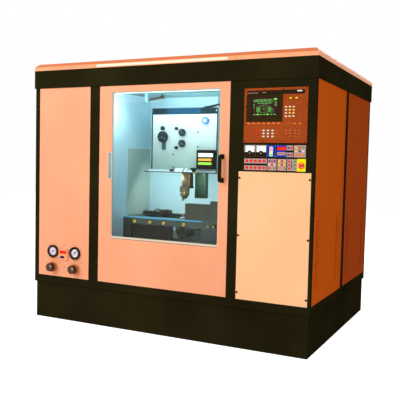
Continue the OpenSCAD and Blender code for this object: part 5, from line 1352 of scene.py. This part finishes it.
def door_pieces():
    window_pieces()
    lo, hi = mm_box("door_handle")
    bar, foot, outer_r, inner_r = 18, 25, 22, 9
    handle = Piece("door_grip", "door", "black_plastic", stands_for=("door_handle",))
    points = [(hi.y, lo.z), *arc(lo.y + outer_r, lo.z + outer_r, outer_r, 270, -15, 7),
              *arc(lo.y + outer_r, hi.z - outer_r, outer_r, 180, -15, 7), (hi.y, hi.z), (hi.y, hi.z - foot),
              *arc(lo.y + bar + inner_r, hi.z - foot - inner_r, inner_r, 90, 22.5, 5),
              *arc(lo.y + bar + inner_r, lo.z + foot + inner_r, inner_r, 180, 22.5, 5), (hi.y, lo.z + foot)]
    handle.loft(Matrix.Identity(4), [[(x, y, z) for y, z in points] for x in (lo.x, hi.x)])
    handle.done(bevel=5)
    plates = Piece("handle_screws", "door", "steel", "chrome", "black_plastic")
    x = (lo.x + hi.x) / 2
    for z in (lo.z + foot / 2, hi.z - foot / 2):
        plates.stack(front(x, DOOR_FACE, z), 36, 34, 6, [(0, 0.02), (0, 1.2), (1, 2.2)], 1)
        for sx in BOTH:
            plates.screw(front(x + sx * 15.3, DOOR_FACE - 2.1, z), 2.2)
    plates.done()
    lip = Piece("grip_lip", "door", "steel", "seal_pale")
    lip.ring(front(-435.5, DOOR_FACE, 1254), rounded(36, 204, 4), rounded(29, 197, 3), -0.1, 0.8, 0, 0.4)
    lip.done()


# Outside of the cabinet

def cap_pieces():
    # Painted highlight: a cream strip where light catches the cap's lower face, and a fainter strip on its left
    # segment.
    strips = Piece("cap_highlight_strips", "cabinet", "cap_paint", "cap_cream", "cap_dull")
    for x0, x1, z0, z1, tone in ((-568, 532, 2006, 2024, 0), (-1010, -676, 2010, 2023, 1)):
        strips.stack(front((x0 + x1) / 2, CAP_FACE, (z0 + z1) / 2), x1 - x0, z1 - z0, 5,
                     [(0, 0.02), (0, 0.3), (0.4, 0.6)], tone)
    strips.done()
    seams = Piece("cap_seams", "cabinet", "black_plastic")
    for x in (-584.8, 594.2):
        for y, face in ((CAP_FACE, front), (-CAP_FACE, rear)):
            seams.stack(face(x, y, 2014), 1.6, 27, 0.5, [(0, 0.02), (0, 0.3)], 0, 2)
    seams.done()


def latch(piece, place, r=11):
    """A quarter-turn lock: collar, slotted core."""
    piece.turned(place, [(r, 0.02), (r, 1.0), (r - 1.4, 1.7), (r - 3.6, 1.7), (r - 4.2, 1.1), (0, 1.1)], 0,
                 28)
    piece.stack(moved(place, 0, 0, 1.0), 2.2, 1.3 * (r - 4), 0.8, [(0, 0), (0, 0.5)], 1, 2)


def outside_pieces():
    locks = Piece("panel_latches", "cabinet", "black_plastic", "dark_steel", "black_plastic")
    in_from_side, in_from_end = 34, 60
    for lo, hi in islands("rear_panels"):
        for x in (lo.x + in_from_side, hi.x - in_from_side):
            for z in (lo.z + in_from_end, (lo.z + hi.z) / 2, hi.z - in_from_end):
                latch(locks, rear(x, hi.y, z))
    for lo, hi in islands("side_panels"):
        if hi.x < 0:
            for y in (lo.y + in_from_side, hi.y - in_from_side):
                for z in (lo.z + in_from_end, hi.z - in_from_end):
                    latch(locks, to_left(lo.x, y, z))
    locks.done()

    fittings = Piece("port_fittings", "cabinet", "port_metal", "port_metal", "brass", "black_plastic")
    for lo, hi in islands("service_ports"):
        m, size = middle((lo, hi)), hi - lo
        place = rear(m.x, REAR_FACE, m.z)
        if abs(size.x - size.z) < 2 and size.x < 120:
            r = size.x / 2
            fittings.turned(place, [(r + 0.3, 0.02), (r + 9, 0.02), (r + 9, 7), (r + 7, 9), (r + 0.3, 9)],
                            1 if r < 26 else 2, 6)
            fittings.turned(place, [(r + 0.2, 12), (r + 2.4, 12), (r + 2.4, 16), (r + 0.2, 18)], 0, 28)
        else:
            fittings.ring(place, rounded(size.x + 24, size.z + 24, 10),
                          rounded(size.x + 0.6, size.z + 0.6, 4), 0.02, 3, 2, 1)
            fittings.corner_screws(rear, m.x, REAR_FACE + 3, m.z, size.x / 2 + 6, size.z / 2 + 6, 3.6)
            for k in range(5):
                slot = to_right(hi.x, m.y, lo.z + 30 + 12 * k)
                fittings.stack(slot, 34, 4, 1.8, [(0, 0.02), (0, 0.8)], 2, 2)
    fittings.done()


# Camera, floor and light

WORLD_LIGHT, FLOOR_LIGHT, FLOOR_HALF = 0.55, 0.72, 14
SEEN_BY = ("Is Camera Ray", "Is Glossy Ray", "Is Transmission Ray")
COOL, PALE, WARM, WHITE = (0.86, 0.98, 1.0), (0.98, 0.98, 0.90), (1.0, 0.93, 0.86), (1, 1, 1)


def make_camera():
    a, e, r = CAMERA_AZIMUTH, CAMERA_DOWN, CAMERA_ROLL
    forward = Vector((-math.sin(a) * math.cos(e), math.cos(a) * math.cos(e), -math.sin(e)))
    right = forward.cross(Vector((0, 0, 1))).normalized()
    up = right.cross(forward)
    rolled = (right * math.cos(r) + up * math.sin(r), up * math.cos(r) - right * math.sin(r), -forward)
    data = bpy.data.cameras.new("camera")
    data.lens, data.sensor_width, data.clip_end = CAMERA_LENS, CAMERA_SENSOR, 60
    camera = bpy.data.objects.new("camera", data)
    camera.matrix_world = Matrix.Translation(CAMERA_PLACE) @ Matrix(rolled).transposed().to_4x4()
    bpy.context.scene.collection.objects.link(camera)
    bpy.context.scene.camera = camera


def area_light(name, place, target, size, power, colour=WHITE, size_y=None):
    data = bpy.data.lights.new(name, "AREA")
    data.energy, data.color, data.shape = power, colour, "RECTANGLE"
    data.size, data.size_y = size, size_y or size
    light = bpy.data.objects.new(name, data)
    light.location = place
    light.rotation_euler = (Vector(target) - Vector(place)).to_track_quat("-Z", "Y").to_euler()
    bpy.context.scene.collection.objects.link(light)
    return light


def pale_world():
    """White to the camera and in reflections, plain soft light on the object."""
    world = bpy.data.worlds.new("studio")
    bpy.context.scene.world = world
    world.use_nodes = True
    tree = world.node_tree
    tree.nodes.clear()
    mix = tree.nodes.new("ShaderNodeMixShader")
    for socket, strength in ((1, WORLD_LIGHT), (2, 1.0)):
        background = tree.nodes.new("ShaderNodeBackground")
        background.inputs["Color"].default_value = (*WHITE, 1)
        background.inputs["Strength"].default_value = strength
        tree.links.new(background.outputs[0], mix.inputs[socket])
    path = tree.nodes.new("ShaderNodeLightPath").outputs
    sees = path[SEEN_BY[0]]
    for kind in SEEN_BY[1:]:
        either = tree.nodes.new("ShaderNodeMath")
        either.operation = "MAXIMUM"
        tree.links.new(sees, either.inputs[0])
        tree.links.new(path[kind], either.inputs[1])
        sees = either.outputs[0]
    tree.links.new(sees, mix.inputs[0])
    tree.links.new(mix.outputs[0], tree.nodes.new("ShaderNodeOutputWorld").inputs[0])


def pale_floor():
    mesh = bpy.data.meshes.new("floor")
    h = FLOOR_HALF
    mesh.from_pydata([(-h, -h, 0), (h, -h, 0), (h, h, 0), (-h, h, 0)], [], [(0, 1, 2, 3)])
    floor = bpy.data.objects.new("floor", mesh)
    bpy.context.scene.collection.objects.link(floor)
    s = Shader("pale_floor")
    s.feed(Base_Color=s.blend(s.ramp(s.noise(0.8), 0.3, 0.7), (0.93, 0.93, 0.93, 1), (0.9, 0.9, 0.9, 1)))
    s.set(Roughness=0.8, Emission_Color=(*WHITE, 1))
    path = s.add("ShaderNodeLightPath").outputs
    sees = path[SEEN_BY[0]]
    for kind in SEEN_BY[1:]:
        sees = s.maths("MAXIMUM", sees, path[kind])
    s.feed(Emission_Strength=s.maths("MULTIPLY", sees, FLOOR_LIGHT))
    mesh.materials.append(s.material)


def studio_light():
    pale_world()
    pale_floor()
    area_light("key", (-3.2, -6.5, 4.2), (0, -0.8, 1.0), 4.0, 290)
    area_light("side_fill", (4.4, -4.4, 2.6), (1.2, -0.8, 1.2), 2.0, 34, WARM)
    area_light("rear_fill", (0, 6.5, 4.0), (0, 0.8, 1.0), 4.0, 120)
    lo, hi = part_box("work_lamp")
    under_lamp = ((lo.x + hi.x) / 2, hi.y + 0.05, lo.z - 0.02)
    for name, place, target, size, power, colour, size_y in (
            ("chamber_light", under_lamp, (0, -0.40, 1.60), 0.9, 2.2, COOL, 0.12),
            ("left_wall_light", (-0.40, -0.66, 1.70), (-0.554, -0.62, 1.66), 0.12, 0.9, COOL, 0.2),
            ("back_wall_light", (-0.23, -0.37, 1.17), (-0.14, -0.05, 0.93), 0.34, 1.9, PALE, 0.06),
            ("back_corner_light", (0.20, -0.37, 1.17), (0.20, -0.05, 1.0), 0.28, 0.45, PALE, 0.06),
            ("upper_light", (-0.03, -0.36, 1.745), (-0.03, -0.05, 1.80), 0.7, 1.0, COOL, 0.04),
            ("right_light", (0.54, -0.50, 1.05), (-0.10, -0.42, 0.95), 0.2, 0.4, COOL, 0.5)):
        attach(area_light(name, place, target, size, power, colour, size_y), "cabinet")


make_camera()
dress_nodes()
for build in (screen, display_panel_pieces, module_pieces, stop_button_pieces, meter_faces, gauge_pieces,
              regulator_pieces, cell_meter_pieces, ledge_pieces, disc_pieces, readout_pieces, chamber_pieces,
              ram_pieces, guide_pieces, wire_pieces, table_pieces, door_pieces, cap_pieces, outside_pieces,
              studio_light):
    build()

bpy.context.scene.view_settings.view_transform = "Standard"
